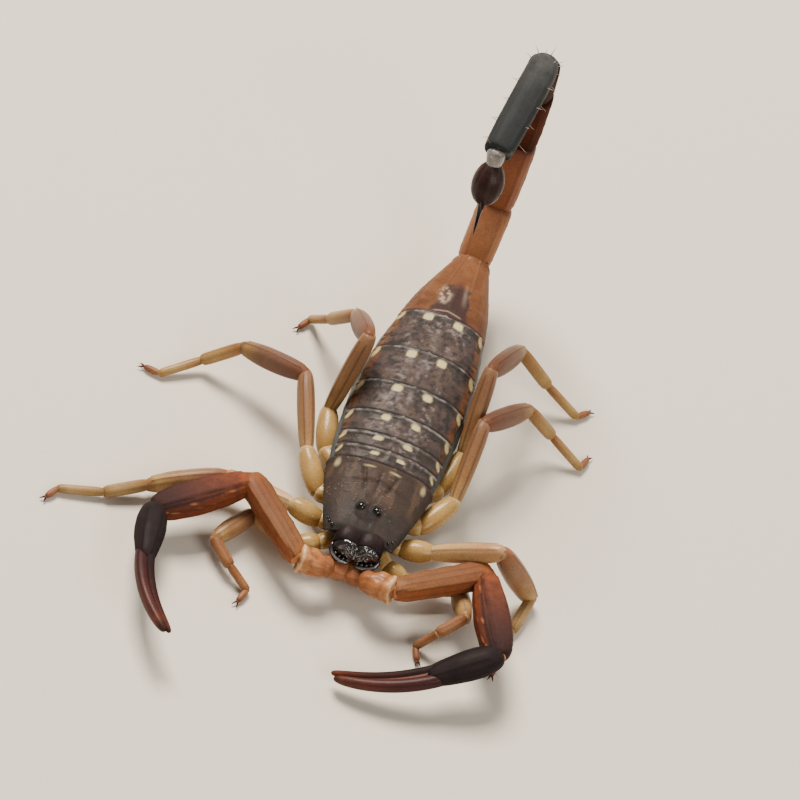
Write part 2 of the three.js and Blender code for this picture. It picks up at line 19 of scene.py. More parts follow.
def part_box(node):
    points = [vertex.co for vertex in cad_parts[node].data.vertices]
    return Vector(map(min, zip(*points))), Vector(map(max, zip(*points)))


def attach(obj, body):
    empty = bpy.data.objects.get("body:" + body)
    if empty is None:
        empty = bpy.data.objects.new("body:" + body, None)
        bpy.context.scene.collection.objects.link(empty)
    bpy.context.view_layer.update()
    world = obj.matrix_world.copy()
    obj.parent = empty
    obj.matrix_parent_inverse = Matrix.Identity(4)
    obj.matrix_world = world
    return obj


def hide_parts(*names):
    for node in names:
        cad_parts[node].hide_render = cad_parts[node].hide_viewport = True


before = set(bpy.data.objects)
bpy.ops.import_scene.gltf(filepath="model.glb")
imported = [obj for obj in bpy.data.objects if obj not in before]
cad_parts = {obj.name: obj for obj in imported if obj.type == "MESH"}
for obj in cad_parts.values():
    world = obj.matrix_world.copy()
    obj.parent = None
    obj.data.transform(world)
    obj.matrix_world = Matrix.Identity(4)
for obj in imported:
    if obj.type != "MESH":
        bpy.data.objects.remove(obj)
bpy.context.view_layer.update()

LOG = logging.getLogger("scorpion")
MM = 0.001
BODY = "root"
Piece = bpy.types.Object


# ---------------------------------------------------------------- measures of the animal


class Side(Enum):
    """The animal's own sides, with the sign of their x."""

    RIGHT = -1
    LEFT = 1

    @property
    def label(self) -> str:
        """The side's name as the CAD nodes spell it."""
        return self.name.lower()


@dataclass(frozen=True)
class Station:
    """One cross-section of the trunk, in millimetres."""

    y: float
    half: float
    back: float
    belly: float


@dataclass(frozen=True)
class Measures:
    """The trunk's outline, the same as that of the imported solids."""

    seam: float = 4.0
    side_bend: float = 1.25
    bend_at: float = 28.4
    stations: tuple[Station, ...] = tuple(
        Station(*row)
        for row in (
            (-2.5, 2.55, 4.95, 2.5), (-1.2, 3.0, 5.25, 2.3), (0.2, 3.35, 5.45, 2.2),
            (2.0, 3.8, 5.75, 2.15), (4.0, 4.15, 6.05, 2.1), (6.5, 4.4, 6.45, 2.1),
            (9.0, 4.55, 6.75, 2.0), (12.0, 4.6, 6.9, 1.9), (15.5, 4.4, 6.85, 1.9),
            (18.0, 4.05, 6.6, 2.0), (20.5, 3.6, 6.35, 2.2), (23.5, 3.0, 6.05, 2.5),
            (26.0, 2.25, 5.8, 2.8), (28.4, 1.5, 5.6, 3.1),
        )
    )

    def smooth(self, key: str, y: np.ndarray) -> np.ndarray:
        """A smooth curve through the stations.

        Args:
            key: The station's value: half, back or belly.
            y: Places along the trunk.

        Returns:
            The value at each place.
        """
        along = np.array([station.y for station in self.stations])
        values = np.array([getattr(station, key) for station in self.stations])
        slopes = np.gradient(values, along)
        y = np.clip(np.asarray(y, float), along[0], along[-1])
        i = np.clip(np.searchsorted(along, y) - 1, 0, len(along) - 2)
        step = along[i + 1] - along[i]
        t = (y - along[i]) / step
        rise = (2 * t**3 - 3 * t**2 + 1) * values[i] + (3 * t**2 - 2 * t**3) * values[i + 1]
        lean = (t**3 - 2 * t**2 + t) * slopes[i] + (t**3 - t**2) * slopes[i + 1]
        return rise + step * lean

    def half(self, y: np.ndarray) -> np.ndarray:
        """Half width of the trunk at y."""
        return self.smooth("half", y)

    def back(self, y: np.ndarray) -> np.ndarray:
        """Height of the back at y."""
        return self.smooth("back", y)

    def belly(self, y: np.ndarray) -> np.ndarray:
        """Height of the belly at y."""
        return self.smooth("belly", y)

    def middle(self, y: np.ndarray) -> np.ndarray:
        """Sideways place of the middle line at y, which bends a little to the left."""
        y = np.asarray(y, float)
        return np.where(y > 0, self.side_bend * (y / self.bend_at) ** 2, 0.0)


BUILD = Measures()


def direction(heading: float, pitch: float) -> Vector:
    """The way a limb article points.

    Args:
        heading: Degrees from +Y towards +X.
        pitch: Degrees above the floor.

    Returns:
        A vector of length 1.
    """
    h, p = math.radians(heading), math.radians(pitch)
    return Vector((math.sin(h) * math.cos(p), math.cos(h) * math.cos(p), math.sin(p)))


def frame_at(at: Vector, heading: float, pitch: float) -> Matrix:
    """The frame of an article: x across, y along and z to its upper side.

    Args:
        at: The joint where the article starts.
        heading: Degrees from +Y towards +X.
        pitch: Degrees above the floor.

    Returns:
        The matrix from the bench to the animal's frame, in millimetres.
    """
    along = direction(heading, pitch)
    h = math.radians(heading)
    across = Vector((math.cos(h), -math.sin(h), 0.0))
    up = across.cross(along)
    turn = Matrix((across, along, up)).transposed().to_4x4()
    return Matrix.Translation(at) @ turn


def eye_middle() -> Vector:
    """The point midway between the median eyes, in metres, from their CAD nodes."""
    low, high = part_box("median_eye_right")
    low2, high2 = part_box("median_eye_left")
    return (low + high + low2 + high2) / 4


EYE_Y = -0.05
EYE_X = 0.6
EYE_Z = float(BUILD.back(0.0)) + 0.12
SEAT = (
    Matrix.Translation(Vector((eye_middle().x, eye_middle().y, 0.0)) - Vector((0.0, EYE_Y * MM, 0.0)))
    @ Matrix.Scale(MM, 4)
)


# ---------------------------------------------------------------- patterns in numbers


def hashed(cells: np.ndarray, salt: int) -> np.ndarray:
    """A repeatable number from 0 to 1 for each whole-number cell."""
    mixed = np.sin(cells @ np.array([127.1, 311.7, 74.7]) + salt * 19.19) * 43758.5453
    return mixed - np.floor(mixed)


def pebbles(points: np.ndarray, spacing: float, share: float = 0.7, salt: int = 1) -> np.ndarray:
    """Rounded grains strewn over a surface.

    Args:
        points: Places in millimetres.
        spacing: Usual distance between grains.
        share: Share of the places that hold a grain.
        salt: Changes the layout.

    Returns:
        1 on the top of a grain and 0 between grains.
    """
    scaled = points / spacing
    base = np.floor(scaled)
    height = np.zeros(len(points))
    for shift in itertools.product((-1, 0, 1), repeat=3):
        cell = base + np.array(shift)
        jitter = np.stack([hashed(cell, salt + k) for k in range(3)], axis=1)
        size = 0.3 + 0.22 * hashed(cell, salt + 3)
        away = np.linalg.norm(scaled - cell - 0.2 - 0.6 * jitter, axis=1) / size
        grain = np.clip(1 - away**2, 0, 1) * (hashed(cell, salt + 4) < share)
        height = np.maximum(height, grain)
    return height


def clouds(points: np.ndarray, size: float, salt: int = 1) -> np.ndarray:
    """Soft patches from 0 to 1, about size millimetres across."""
    total = np.zeros(len(points))
    for octave, weight in ((1.0, 0.65), (2.3, 0.35)):
        scaled = points / size * octave
        base = np.floor(scaled)
        part = scaled - base
        part = part * part * (3 - 2 * part)
        for shift in itertools.product((0, 1), repeat=3):
            corner = np.array(shift)
            share = np.prod(np.where(corner == 1, part, 1 - part), axis=1)
            total += weight * share * hashed(base + corner, salt + int(octave))
    return total


def step(low: float, high: float, values: np.ndarray) -> np.ndarray:
    """0 below low, 1 above high and a smooth rise between, or a fall if high is the lower."""
    t = np.clip((values - low) / (high - low), 0, 1)
    return t * t * (3 - 2 * t)


def bump(values: np.ndarray, centre: float, width: float) -> np.ndarray:
    """A smooth hill of height 1 at centre that is 0 beyond width."""
    return np.clip(1 - ((values - centre) / width) ** 2, 0, 1) ** 2


def waves(values: np.ndarray, spacing: float, shift: float | np.ndarray = 0.0) -> np.ndarray:
    """Even waves from 0 to 1, a spacing apart."""
    return 0.5 + 0.5 * np.cos(values * 2 * math.pi / spacing + shift)


# ---------------------------------------------------------------- the bench


@dataclass(frozen=True)
class Ring:
    """One cross-section of a piece on the bench, in millimetres."""

    y: float
    wide: float
    high: float
    x: float = 0.0
    z: float = 0.0


def outline(*rows: Sequence[float], wide: float = 1.0, high: float = 1.0) -> tuple[Ring, ...]:
    """Rings from rows of y, half width, half height, x and z, with both halves scaled."""
    return tuple(Ring(row[0], row[1] * wide, row[2] * high, *row[3:]) for row in rows)


def deselect() -> None:
    """Leaves edit mode and deselects everything."""
    if bpy.context.object and bpy.context.object.mode != "OBJECT":
        bpy.ops.object.mode_set(mode="OBJECT")
    bpy.ops.object.select_all(action="DESELECT")


def pick(*pieces: Piece) -> None:
    """Selects only these pieces and makes the first one active."""
    deselect()
    for piece in pieces:
        piece.select_set(True)
    bpy.context.view_layer.objects.active = pieces[0]


def apply_modifier(piece: Piece, kind: str, **settings: object) -> None:
    """Adds a modifier with its settings and applies it."""
    pick(piece)
    modifier = piece.modifiers.new(kind.lower(), kind)
    for key, value in settings.items():
        setattr(modifier, key, value)
    bpy.ops.object.modifier_apply(modifier=modifier.name)


def refine(piece: Piece, levels: int) -> Piece:
    """Rounds a piece by subdivision."""
    apply_modifier(piece, "SUBSURF", levels=levels, render_levels=levels)
    return piece


def edit_all() -> None:
    """Enters edit mode with everything selected."""
    bpy.ops.object.mode_set(mode="EDIT")
    bpy.ops.mesh.select_all(action="SELECT")


def recalculate(piece: Piece) -> None:
    """Turns every face of a piece outwards."""
    pick(piece)
    edit_all()
    bpy.ops.mesh.normals_make_consistent(inside=False)
    bpy.ops.object.mode_set(mode="OBJECT")


def vectors(data: bpy.types.bpy_prop_collection, key: str) -> np.ndarray:
    """The vectors of a mesh's collection, one row each."""
    flat = np.empty(len(data) * 3, np.float32)
    data.foreach_get(key, flat)
    return flat.reshape(-1, 3).astype(float)


def positions(piece: Piece) -> np.ndarray:
    """The piece's vertices, one row each."""
    return vectors(piece.data.vertices, "co")


def normals(piece: Piece) -> np.ndarray:
    """The normal of each of the piece's vertices."""
    return vectors(piece.data.vertex_normals, "vector")


def place(piece: Piece, points: np.ndarray) -> None:
    """Puts the piece's vertices at new places."""
    piece.data.vertices.foreach_set("co", points.astype(np.float32).ravel())
    piece.data.update()


def raise_by(piece: Piece, amount: np.ndarray) -> None:
    """Pushes each vertex out along its normal by its amount."""
    place(piece, positions(piece) + normals(piece) * amount[:, None])


def mirrored(piece: Piece) -> Piece:
    """Mirrors a piece across x, in place."""
    points = positions(piece)
    points[:, 0] *= -1
    place(piece, points)
    piece.data.flip_normals()
    return piece


def tag(piece: Piece, name: str, *columns: np.ndarray) -> None:
    """Stores three numbers at each vertex for the finishes to read."""
    stores = piece.data.attributes
    store = stores.get(name) or stores.new(name, "FLOAT_VECTOR", "POINT")
    values = np.stack([np.broadcast_to(c, len(piece.data.vertices)) for c in columns], axis=1)
    store.data.foreach_set("vector", values.astype(np.float32).ravel())


def loft(name: str, rings: Sequence[Ring], around: int = 16, square: float = 2.0) -> Piece:
    """A closed body drawn out ring by ring from a filled circle.

    Args:
        name: Name of the new object.
        rings: Its cross-sections, in order along +Y.
        around: Corners of each ring.
        square: 2 for ovals, and more for boxier rings.

    Returns:
        The new object.
    """
    deselect()
    bpy.ops.mesh.primitive_circle_add(
        vertices=around, radius=1.0, fill_type="NGON", rotation=(math.pi / 2, 0, 0)
    )
    piece = bpy.context.object
    piece.name = name
    bpy.ops.object.transform_apply(location=True, rotation=True, scale=True)
    points = positions(piece)
    angle = np.arctan2(points[:, 2], points[:, 0])
    for column, share in ((0, np.cos(angle)), (2, np.sin(angle))):
        points[:, column] = np.sign(share) * np.abs(share) ** (2 / square)
    place(piece, points)
    edit_all()
    first = rings[0]
    bpy.ops.transform.resize(value=(first.wide, 1, first.high), center_override=(0, 0, 0))
    bpy.ops.transform.translate(value=(first.x, first.y, first.z))
    for before, ring in itertools.pairwise(rings):
        move = (ring.x - before.x, ring.y - before.y, ring.z - before.z)
        bpy.ops.mesh.extrude_region_move(TRANSFORM_OT_translate={"value": move})
        bpy.ops.transform.resize(
            value=(ring.wide / before.wide, 1, ring.high / before.high),
            center_override=(ring.x, ring.y, ring.z),
        )
    bpy.ops.object.mode_set(mode="OBJECT")
    recalculate(piece)
    return piece


def ball(name: str, radii: Sequence[float], at: Sequence[float], around: int = 24) -> Piece:
    """An oval ball with given half sizes at a place on the bench."""
    deselect()
    bpy.ops.mesh.primitive_uv_sphere_add(segments=around, ring_count=around // 2, radius=1.0)
    piece = bpy.context.object
    piece.name = name
    edit_all()
    bpy.ops.transform.resize(value=tuple(radii), center_override=(0, 0, 0))
    bpy.ops.transform.translate(value=tuple(at))
    bpy.ops.object.mode_set(mode="OBJECT")
    return piece


def merged(name: str, pieces: Sequence[Piece]) -> Piece:
    """Joins pieces into one object."""
    pick(*pieces)
    if len(pieces) > 1:
        bpy.ops.object.join()
    pieces[0].name = name
    return pieces[0]


def twin(piece: Piece, name: str, mirror: bool = False) -> Piece:
    """A copy of a piece with a mesh of its own, mirrored across x if asked."""
    copy = piece.copy()
    copy.data = piece.data.copy()
    copy.name = name
    bpy.context.scene.collection.objects.link(copy)
    return mirrored(copy) if mirror else copy


def turned(points: np.ndarray, bend: Callable[[np.ndarray], tuple[np.ndarray, ...]]) -> np.ndarray:
    """Bends a straight piece along a curve.

    Args:
        points: Vertices of a piece that lies along +Y.
        bend: Gives, for each y, the curve's x, y and z and its turn about z and about x.

    Returns:
        The vertices in their bent places.
    """
    x, y, z, yaw, tilt = bend(points[:, 1])
    side, top = points[:, 0], points[:, 2]
    lift = -top * np.sin(tilt)
    bent_x = x + side * np.cos(yaw) - lift * np.sin(yaw)
    bent_y = y + side * np.sin(yaw) + lift * np.cos(yaw)
    return np.stack([bent_x, bent_y, z + top * np.cos(tilt)], axis=1)


def discard(pieces: Iterable[Piece]) -> None:
    """Removes bench patterns that have been copied."""
    for piece in pieces:
        bpy.data.objects.remove(piece)


# ---------------------------------------------------------------- finishes


def linear(code: str) -> tuple[float, float, float, float]:
    """An sRGB hex value as a linear colour."""
    parts = [int(code[i : i + 2], 16) / 255 for i in (1, 3, 5)]
    flat = [c / 12.92 if c <= 0.04045 else ((c + 0.055) / 1.055) ** 2.4 for c in parts]
    return (flat[0], flat[1], flat[2], 1.0)


def add_node(
    tree: bpy.types.NodeTree, kind: str, inputs: dict[str | int, object], **settings: object
) -> bpy.types.Node:
    """Adds one node with its settings, and sets or links its inputs.

    Args:
        tree: The material's node tree.
        kind: The node's type.
        inputs: Values, or sockets to link, by input name or number.
        settings: The node's own settings.

    Returns:
        The new node.
    """
    node = tree.nodes.new(kind)
    for key, value in settings.items():
        setattr(node, key, value)
    for key, value in inputs.items():
        if isinstance(value, bpy.types.NodeSocket):
            tree.links.new(value, node.inputs[key])
        else:
            node.inputs[key].default_value = value
    return node


# How far the patches shift the colours along a piece, as a share of its length.
WOBBLE = 0.22


def channels(tree: bpy.types.NodeTree, name: str) -> bpy.types.bpy_prop_collection:
    """Sockets for the three numbers that tag stored under a name."""
    source = add_node(tree, "ShaderNodeAttribute", {}, attribute_name=name)
    return add_node(tree, "ShaderNodeSeparateXYZ", {0: source.outputs["Vector"]}).outputs


@dataclass(frozen=True)
class Cuticle:
    """Sclerotised chitin: hard, faintly waxy shell with fine grain, soft mottling and raised keels.

    The colour runs along the piece, keels and pale or dark zones lie over it, and the underside is
    paler. On some pieces the zones carry painted highlights and painted shade. Grain and mottling
    are sized in millimetres.
    """

    name: str
    along: tuple[tuple[float, str], ...]
    under: str
    mottle: str
    keel: str
    pale: str = "#e9dfae"
    dark: str = "#1d1718"
    under_share: float = 0.7
    mottle_share: float = 0.5
    mottle_mm: float = 0.9
    roughness: float = 0.42
    shine: float = 0.06
    gloss_roughness: float = 0.16
    grain_mm: float = 0.1
    grain_depth: float = 0.35
    glow: float = 0.0
    ior: float = 1.54
    sheen: float = 0.1

    def tints(self, tree: bpy.types.NodeTree) -> list[tuple[bpy.types.NodeSocket, str]]:
        """Shares and colours laid straight over the ramp, of which a plain shell has none."""
        return []

    def colour(
        self, tree: bpy.types.NodeTree, patches: bpy.types.NodeSocket
    ) -> bpy.types.NodeSocket:
        """Lays the tints, the underside, the mottling and the zones over the ramp along the piece.

        Args:
            tree: The material's node tree.
            patches: The noise that mottles the shell and blurs the ramp.

        Returns:
            The socket of the finished colour.
        """
        along, zones = channels(tree, "along"), channels(tree, "zones")
        wobble = add_node(
            tree, "ShaderNodeMath", {0: patches, 1: WOBBLE, 2: -WOBBLE / 2}, operation="MULTIPLY_ADD"
        )
        shifted = add_node(
            tree, "ShaderNodeMath", {0: along["X"], 1: wobble.outputs[0]}, operation="ADD"
        )
        ramp = add_node(tree, "ShaderNodeValToRGB", {"Fac": shifted.outputs[0]})
        stops = ramp.color_ramp.elements
        for index, (at, code) in enumerate(self.along):
            element = stops[index] if index < 2 else stops.new(at)
            element.position = at
            element.color = linear(code)
        lower = add_node(
            tree, "ShaderNodeMapRange", {"Value": along["Z"], "From Min": 0.15, "From Max": -0.7}
        )
        lower_share = add_node(
            tree, "ShaderNodeMath", {0: lower.outputs[0], 1: self.under_share}, operation="MULTIPLY"
        )
        spread = add_node(
            tree,
            "ShaderNodeMapRange",
            {"Value": patches, "From Min": 0.42, "From Max": 0.66, "To Max": self.mottle_share},
        )
        colour = ramp.outputs["Color"]
        for share, code in (
            *self.tints(tree),
            (lower_share.outputs[0], self.under),
            (spread.outputs[0], self.mottle),
            (zones["X"], self.keel),
            (zones["Z"], self.dark),
            (zones["Y"], self.pale),
        ):
            layer = add_node(
                tree,
                "ShaderNodeMix",
                {"Factor": share, "A": colour, "B": linear(code)},
                data_type="RGBA",
            )
            colour = layer.outputs["Result"]
        return colour

    def build(self) -> bpy.types.Material:
        """Makes the material once and gives it back on later calls."""
        found = bpy.data.materials.get(self.name)
        if found:
            return found
        material = bpy.data.materials.new(self.name)
        material.use_nodes = True
        tree = material.node_tree
        shader = tree.nodes["Principled BSDF"]
        where = add_node(tree, "ShaderNodeTexCoord", {}).outputs["Object"]
        patches, grain = (
            add_node(
                tree, "ShaderNodeTexNoise", {"Vector": where, "Scale": 1 / (size * MM), "Detail": detail}
            ).outputs["Fac"]
            for size, detail in ((self.mottle_mm, 3.0), (self.grain_mm, 2.0))
        )
        shade, gloss = (
            add_node(
                tree,
                "ShaderNodeMapRange",
                {"Value": grain, "From Min": 0.3, "From Max": 0.7, "To Min": low, "To Max": high},
            ).outputs[0]
            for low, high in ((0.8, 1.15), (self.roughness - 0.07, self.roughness + 0.09))
        )
        tinted = add_node(
            tree,
            "ShaderNodeMix",
            {"Factor": 1.0, "A": self.colour(tree, patches), "B": shade},
            data_type="RGBA",
            blend_type="MULTIPLY",
        )
        relief = add_node(
            tree,
            "ShaderNodeBump",
            {"Height": grain, "Strength": self.grain_depth, "Distance": 0.04 * MM},
        )
        tree.links.new(tinted.outputs["Result"], shader.inputs["Base Color"])
        tree.links.new(gloss, shader.inputs["Roughness"])
        tree.links.new(relief.outputs["Normal"], shader.inputs["Normal"])
        shader.inputs["IOR"].default_value = self.ior
        shader.inputs["Specular IOR Level"].default_value = self.sheen
        shader.inputs["Coat Weight"].default_value = self.shine
        shader.inputs["Coat Roughness"].default_value = self.gloss_roughness
        if self.glow:
            shader.inputs["Subsurface Weight"].default_value = self.glow
            shader.inputs["Subsurface Radius"].default_value = (1.0, 0.55, 0.3)
            shader.inputs["Subsurface Scale"].default_value = 0.35 * MM
        return material


@dataclass(frozen=True)
class PatternedPlate(Cuticle):
    """Chitin whose side margins and middle have colours of their own, painted from the tint zones."""

    margin: str = "#6b4429"
    centre: str = "#5f534e"

    def tints(self, tree: bpy.types.NodeTree) -> list[tuple[bpy.types.NodeSocket, str]]:
        """The side margin and the middle."""
        tint = channels(tree, "tint")
        return [(tint["X"], self.margin), (tint["Y"], self.centre)]


# Matt brown-grey shield, brown streaks behind the eyes; its keel colour paints glints on grains.
SHIELD_SHELL = PatternedPlate(
    "chitin_shield_streaked",
    ((0.0, "#312f2f"), (0.34, "#322f2e"), (0.55, "#3a322e"), (1.0, "#38312f")),
    under="#322b2a", mottle="#463a33", keel="#8c8076", pale="#b4ab7d", dark="#1d191b",
    mottle_share=0.4, roughness=0.56, grain_depth=0.6, shine=0.02, sheen=0.035,
    margin="#5d4a3d", centre="#50413a",
)
# First six back plates: matt purple-brown with pale spots; the keel colour paints highlights.
BACK_PLATE = PatternedPlate(
    "chitin_plate_spotted",
    ((0.0, "#342d2c"), (0.45, "#433938"), (0.8, "#403938"), (1.0, "#363535")),
    under="#3a3432", mottle="#594b42", keel="#8c8786", pale="#c2b888", dark="#232526",
    mottle_mm=0.8, roughness=0.52, grain_depth=0.6, shine=0.04, sheen=0.06,
)
# Seventh back plate: orange-brown; its pale colour also paints a highlight patch.
LAST_PLATE = Cuticle(
    "chitin_plate_amber",
    ((0.0, "#553525"), (0.5, "#644029"), (1.0, "#6f472e")),
    under="#5a3724", mottle="#80593d", keel="#8e6a4c", pale="#b29d89", dark="#352a2b",
    mottle_share=0.35, roughness=0.46, shine=0.05, sheen=0.06,
)
# Thin leathery skin between the plates; painted highlights on fold crests and shade in hollows.
SOFT_SKIN = Cuticle(
    "chitin_skin_soft",
    ((0.0, "#3a322e"), (0.12, "#4a5253"), (0.6, "#55595a"), (1.0, "#57534f")),
    under="#7a6a58", mottle="#39474c", keel="#8a9698", shine=0.07, grain_depth=0.8, glow=0.1,
)
# Tan joint skin of the legs.
JOINT_SKIN = Cuticle(
    "chitin_skin_joint",
    ((0.0, "#9c8062"), (1.0, "#917050")),
    under="#8f7152", mottle="#86623f", keel="#b09a7c", roughness=0.35, shine=0.15, glow=0.2,
)
# Straw-coloured underside plates.
BELLY_PLATE = Cuticle(
    "chitin_belly_straw",
    ((0.0, "#8a7250"), (1.0, "#80664a")),
    under="#8f7856", mottle="#6f5a40", keel="#a48c66", mottle_share=0.4, roughness=0.36, shine=0.1,
    glow=0.1,
)
# Pale straw combs.
COMB = Cuticle(
    "chitin_comb_pale",
    ((0.0, "#a8946e"), (1.0, "#b5a482")),
    under="#ad9a76", mottle="#957c58", keel="#bfb190", roughness=0.4, glow=0.15,
)
# Deep black lens of the eyes.
LENS = Cuticle(
    "chitin_lens_black",
    ((0.0, "#040404"), (1.0, "#040404")),
    under="#040404", mottle="#070708", keel="#070708", roughness=0.1, shine=1.0, grain_depth=0.0,
)
# Jaw bases: matt dark brown.
JAW_BASE = Cuticle(
    "chitin_jaw_matt",
    ((0.0, "#322726"), (0.6, "#241a1b"), (1.0, "#110d0e")),
    under="#2c1e1c", mottle="#1b1314", keel="#3d302d", roughness=0.55, shine=0.02, sheen=0.07,
)
# Jaw fronts and fingers: wet-looking black; the pale grey keel colour paints their highlights.
JAW_TIP = Cuticle(
    "chitin_jaw_glossy",
    ((0.0, "#110c0e"), (0.7, "#150d0f"), (1.0, "#170e10")),
    under="#160d0f", mottle="#0b0709", keel="#727073", roughness=0.22, shine=0.9, grain_depth=0.15,
    sheen=0.5,
)
# Arm roots: amber, a little glossy; the darker keel colour paints shade in the trochanter's hollows.
ARM_ROOT_SHELL = Cuticle(
    "chitin_amber_gloss",
    ((0.0, "#824e2e"), (0.45, "#a36a3f"), (0.85, "#b47f50"), (1.0, "#b6885c")),
    under="#a46d42", mottle="#8a5737", keel="#6c3c24", pale="#dcc7a2", dark="#4d2416",
    roughness=0.36, shine=0.12, glow=0.12,
)
# Bases of the arms: lumpy reddish brown.
ARM_COXA_SHELL = Cuticle(
    "chitin_coxa_russet",
    ((0.0, "#7a482d"), (0.6, "#8a5536"), (1.0, "#95603f")),
    under="#87543a", mottle="#6e3f2a", keel="#b98a66", mottle_share=0.6, mottle_mm=0.6,
    roughness=0.4, shine=0.1, glow=0.08,
)
# Upper arms: orange-brown with darker granular keels; the pale colour paints glints on grains.
ARM_FEMUR_SHELL = Cuticle(
    "chitin_rust_gloss",
    ((0.0, "#7e5434"), (0.3, "#764f33"), (0.8, "#734931"), (1.0, "#8c522f")),
    under="#8a4e2d", mottle="#624430", keel="#38201a", pale="#c9946a", dark="#3f2017",
    under_share=0.85, mottle_share=0.45, mottle_mm=0.6, roughness=0.5, shine=0.02, glow=0.05,
    sheen=0.05,
)
# Forearms: rust that darkens to purple-brown at the wrist; the pale colour paints glints on grains.
ARM_PATELLA_SHELL = Cuticle(
    "chitin_rust_to_plum",
    ((0.0, "#86492a"), (0.2, "#6a3d2c"), (0.5, "#51322a"), (0.75, "#3d2a29"), (1.0, "#2c2425")),
    under="#70391f", mottle="#472d27", keel="#2e1e1d", pale="#b47a55", dark="#221517",
    mottle_share=0.45, mottle_mm=0.6, roughness=0.6, shine=0.0, sheen=0.03,
)
# Hands: purple-black, satin, reddening towards the finger.
HAND_SHELL = Cuticle(
    "chitin_plum_satin",
    (
        (0.0, "#272122"), (0.36, "#262021"), (0.5, "#2b1d1e"), (0.75, "#44221e"), (0.95, "#643828"),
        (1.0, "#4a3026"),
    ),
    under="#2a1f1f", mottle="#1e191a", keel="#1c1718", pale="#c79e8c", roughness=0.6, shine=0.01,
    sheen=0.03, grain_depth=0.5,
)
# Movable fingers: wine red with browner tips.
FINGER_SHELL = Cuticle(
    "chitin_wine_satin",
    ((0.0, "#241c1e"), (0.25, "#2e1d1f"), (0.6, "#412122"), (0.9, "#5d342a"), (1.0, "#3d2a23")),
    under="#382021", mottle="#26191b", keel="#3b1f1e", pale="#c79e8c", roughness=0.44, shine=0.05,
    sheen=0.07,
)
# Leg roots: glassy straw.
LEG_ROOT_SHELL = Cuticle(
    "chitin_straw_glassy",
    ((0.0, "#93723f"), (0.45, "#a98a52"), (0.9, "#a58650"), (1.0, "#bda477")),
    under="#8a683b", mottle="#977845", keel="#8a6740", pale="#e3d5b0", mottle_share=0.35,
    mottle_mm=1.2, roughness=0.26, shine=0.25, glow=0.2,
)
# Upper legs: translucent tan.
LEG_FEMUR_SHELL = Cuticle(
    "chitin_tan_translucent",
    ((0.0, "#c6aa7a"), (0.3, "#bf9a68"), (0.8, "#ab8158"), (1.0, "#a9805a")),
    under="#b8925f", mottle="#b8966a", keel="#84644a", roughness=0.34, shine=0.12, glow=0.15,
)
# Knees: rosy brown with a golden far end.
LEG_PATELLA_SHELL = Cuticle(
    "chitin_rosy_translucent",
    ((0.0, "#875a3f"), (0.3, "#8c6a51"), (0.7, "#97754f"), (0.9, "#a88a57"), (1.0, "#8f6a42")),
    under="#7c563e", mottle="#80583f", keel="#5d4132", roughness=0.36, shine=0.1, glow=0.12,
)
# Upper legs of the rear pairs: a darker copy of the tan shell, as painted shade.
LEG_FEMUR_SHADED = Cuticle(
    "chitin_tan_shaded",
    ((0.0, "#a08153"), (0.3, "#866341"), (0.8, "#79573f"), (1.0, "#7f5d45")),
    under="#6f4b33", mottle="#80603f", keel="#50372a", roughness=0.4, glow=0.12,
)
# Knees of the rear pairs: a darker copy of the rosy brown shell, as painted shade.
LEG_PATELLA_SHADED = Cuticle(
    "chitin_rosy_shaded",
    ((0.0, "#6d4531"), (0.3, "#6a4d3f"), (0.7, "#725542"), (0.9, "#8f7246"), (1.0, "#7c5738")),
    under="#5c3d2f", mottle="#5f4437", keel="#493228", shine=0.05, glow=0.1,
)
# Shins and insteps of the rear pairs: honey with a reddish start.
LEG_SHIN_SHELL = Cuticle(
    "chitin_honey_translucent",
    ((0.0, "#7e5331"), (0.3, "#977247"), (0.75, "#a58a57"), (1.0, "#93703f")),
    under="#7f5a36", mottle="#8f6c40", keel="#6b4a2f", roughness=0.36, shine=0.12, glow=0.12,
)
# Shins and insteps of the first pair: reddish brown.
LEG_SHIN_RUSSET = Cuticle(
    "chitin_shin_russet",
    ((0.0, "#6f472c"), (0.3, "#84593a"), (0.75, "#8d6341"), (1.0, "#7a5133")),
    under="#6c472e", mottle="#7a5235", keel="#573928", roughness=0.38, shine=0.08, glow=0.1,
)
# Shins and insteps of the second pair: olive brown.
LEG_SHIN_OLIVE = Cuticle(
    "chitin_shin_olive",
    ((0.0, "#80623a"), (0.3, "#96784e"), (0.75, "#a08458"), (1.0, "#866840")),
    under="#765836", mottle="#886b44", keel="#5a4329", roughness=0.38, shine=0.08, glow=0.1,
)
# Feet: reddish brown.
LEG_FOOT_SHELL = Cuticle(
    "chitin_foot_brown",
    ((0.0, "#8a6540"), (0.6, "#84563a"), (1.0, "#6c4030")),
    under="#7d5238", mottle="#704630", keel="#5c3a28", roughness=0.38, glow=0.08,
)
# Claws of the feet: dark horn.
CLAW_HORN = Cuticle(
    "chitin_claw_horn",
    ((0.0, "#6a402a"), (0.5, "#42261c"), (1.0, "#241614")),
    under="#42261c", mottle="#321d18", keel="#4e3022", roughness=0.3, shine=0.15,
)
# First tail segment: warm tan-orange.
TAIL_BASE_SHELL = Cuticle(
    "chitin_tail_tan",
    ((0.0, "#7b452c"), (0.1, "#93613f"), (0.6, "#966646"), (0.9, "#85563a"), (1.0, "#66382a")),
    under="#87583a", mottle="#84573a", keel="#7c4e36", dark="#401d13", roughness=0.44, sheen=0.08,
)
# Second tail segment: the same shell, redder.
TAIL_SECOND_SHELL = Cuticle(
    "chitin_tail_copper",
    ((0.0, "#592f20"), (0.1, "#77462e"), (0.6, "#7e4d34"), (0.9, "#683d2b"), (1.0, "#3a1e17")),
    under="#7a492f", mottle="#724530", keel="#61392a", dark="#2c1510", roughness=0.44, sheen=0.08,
)
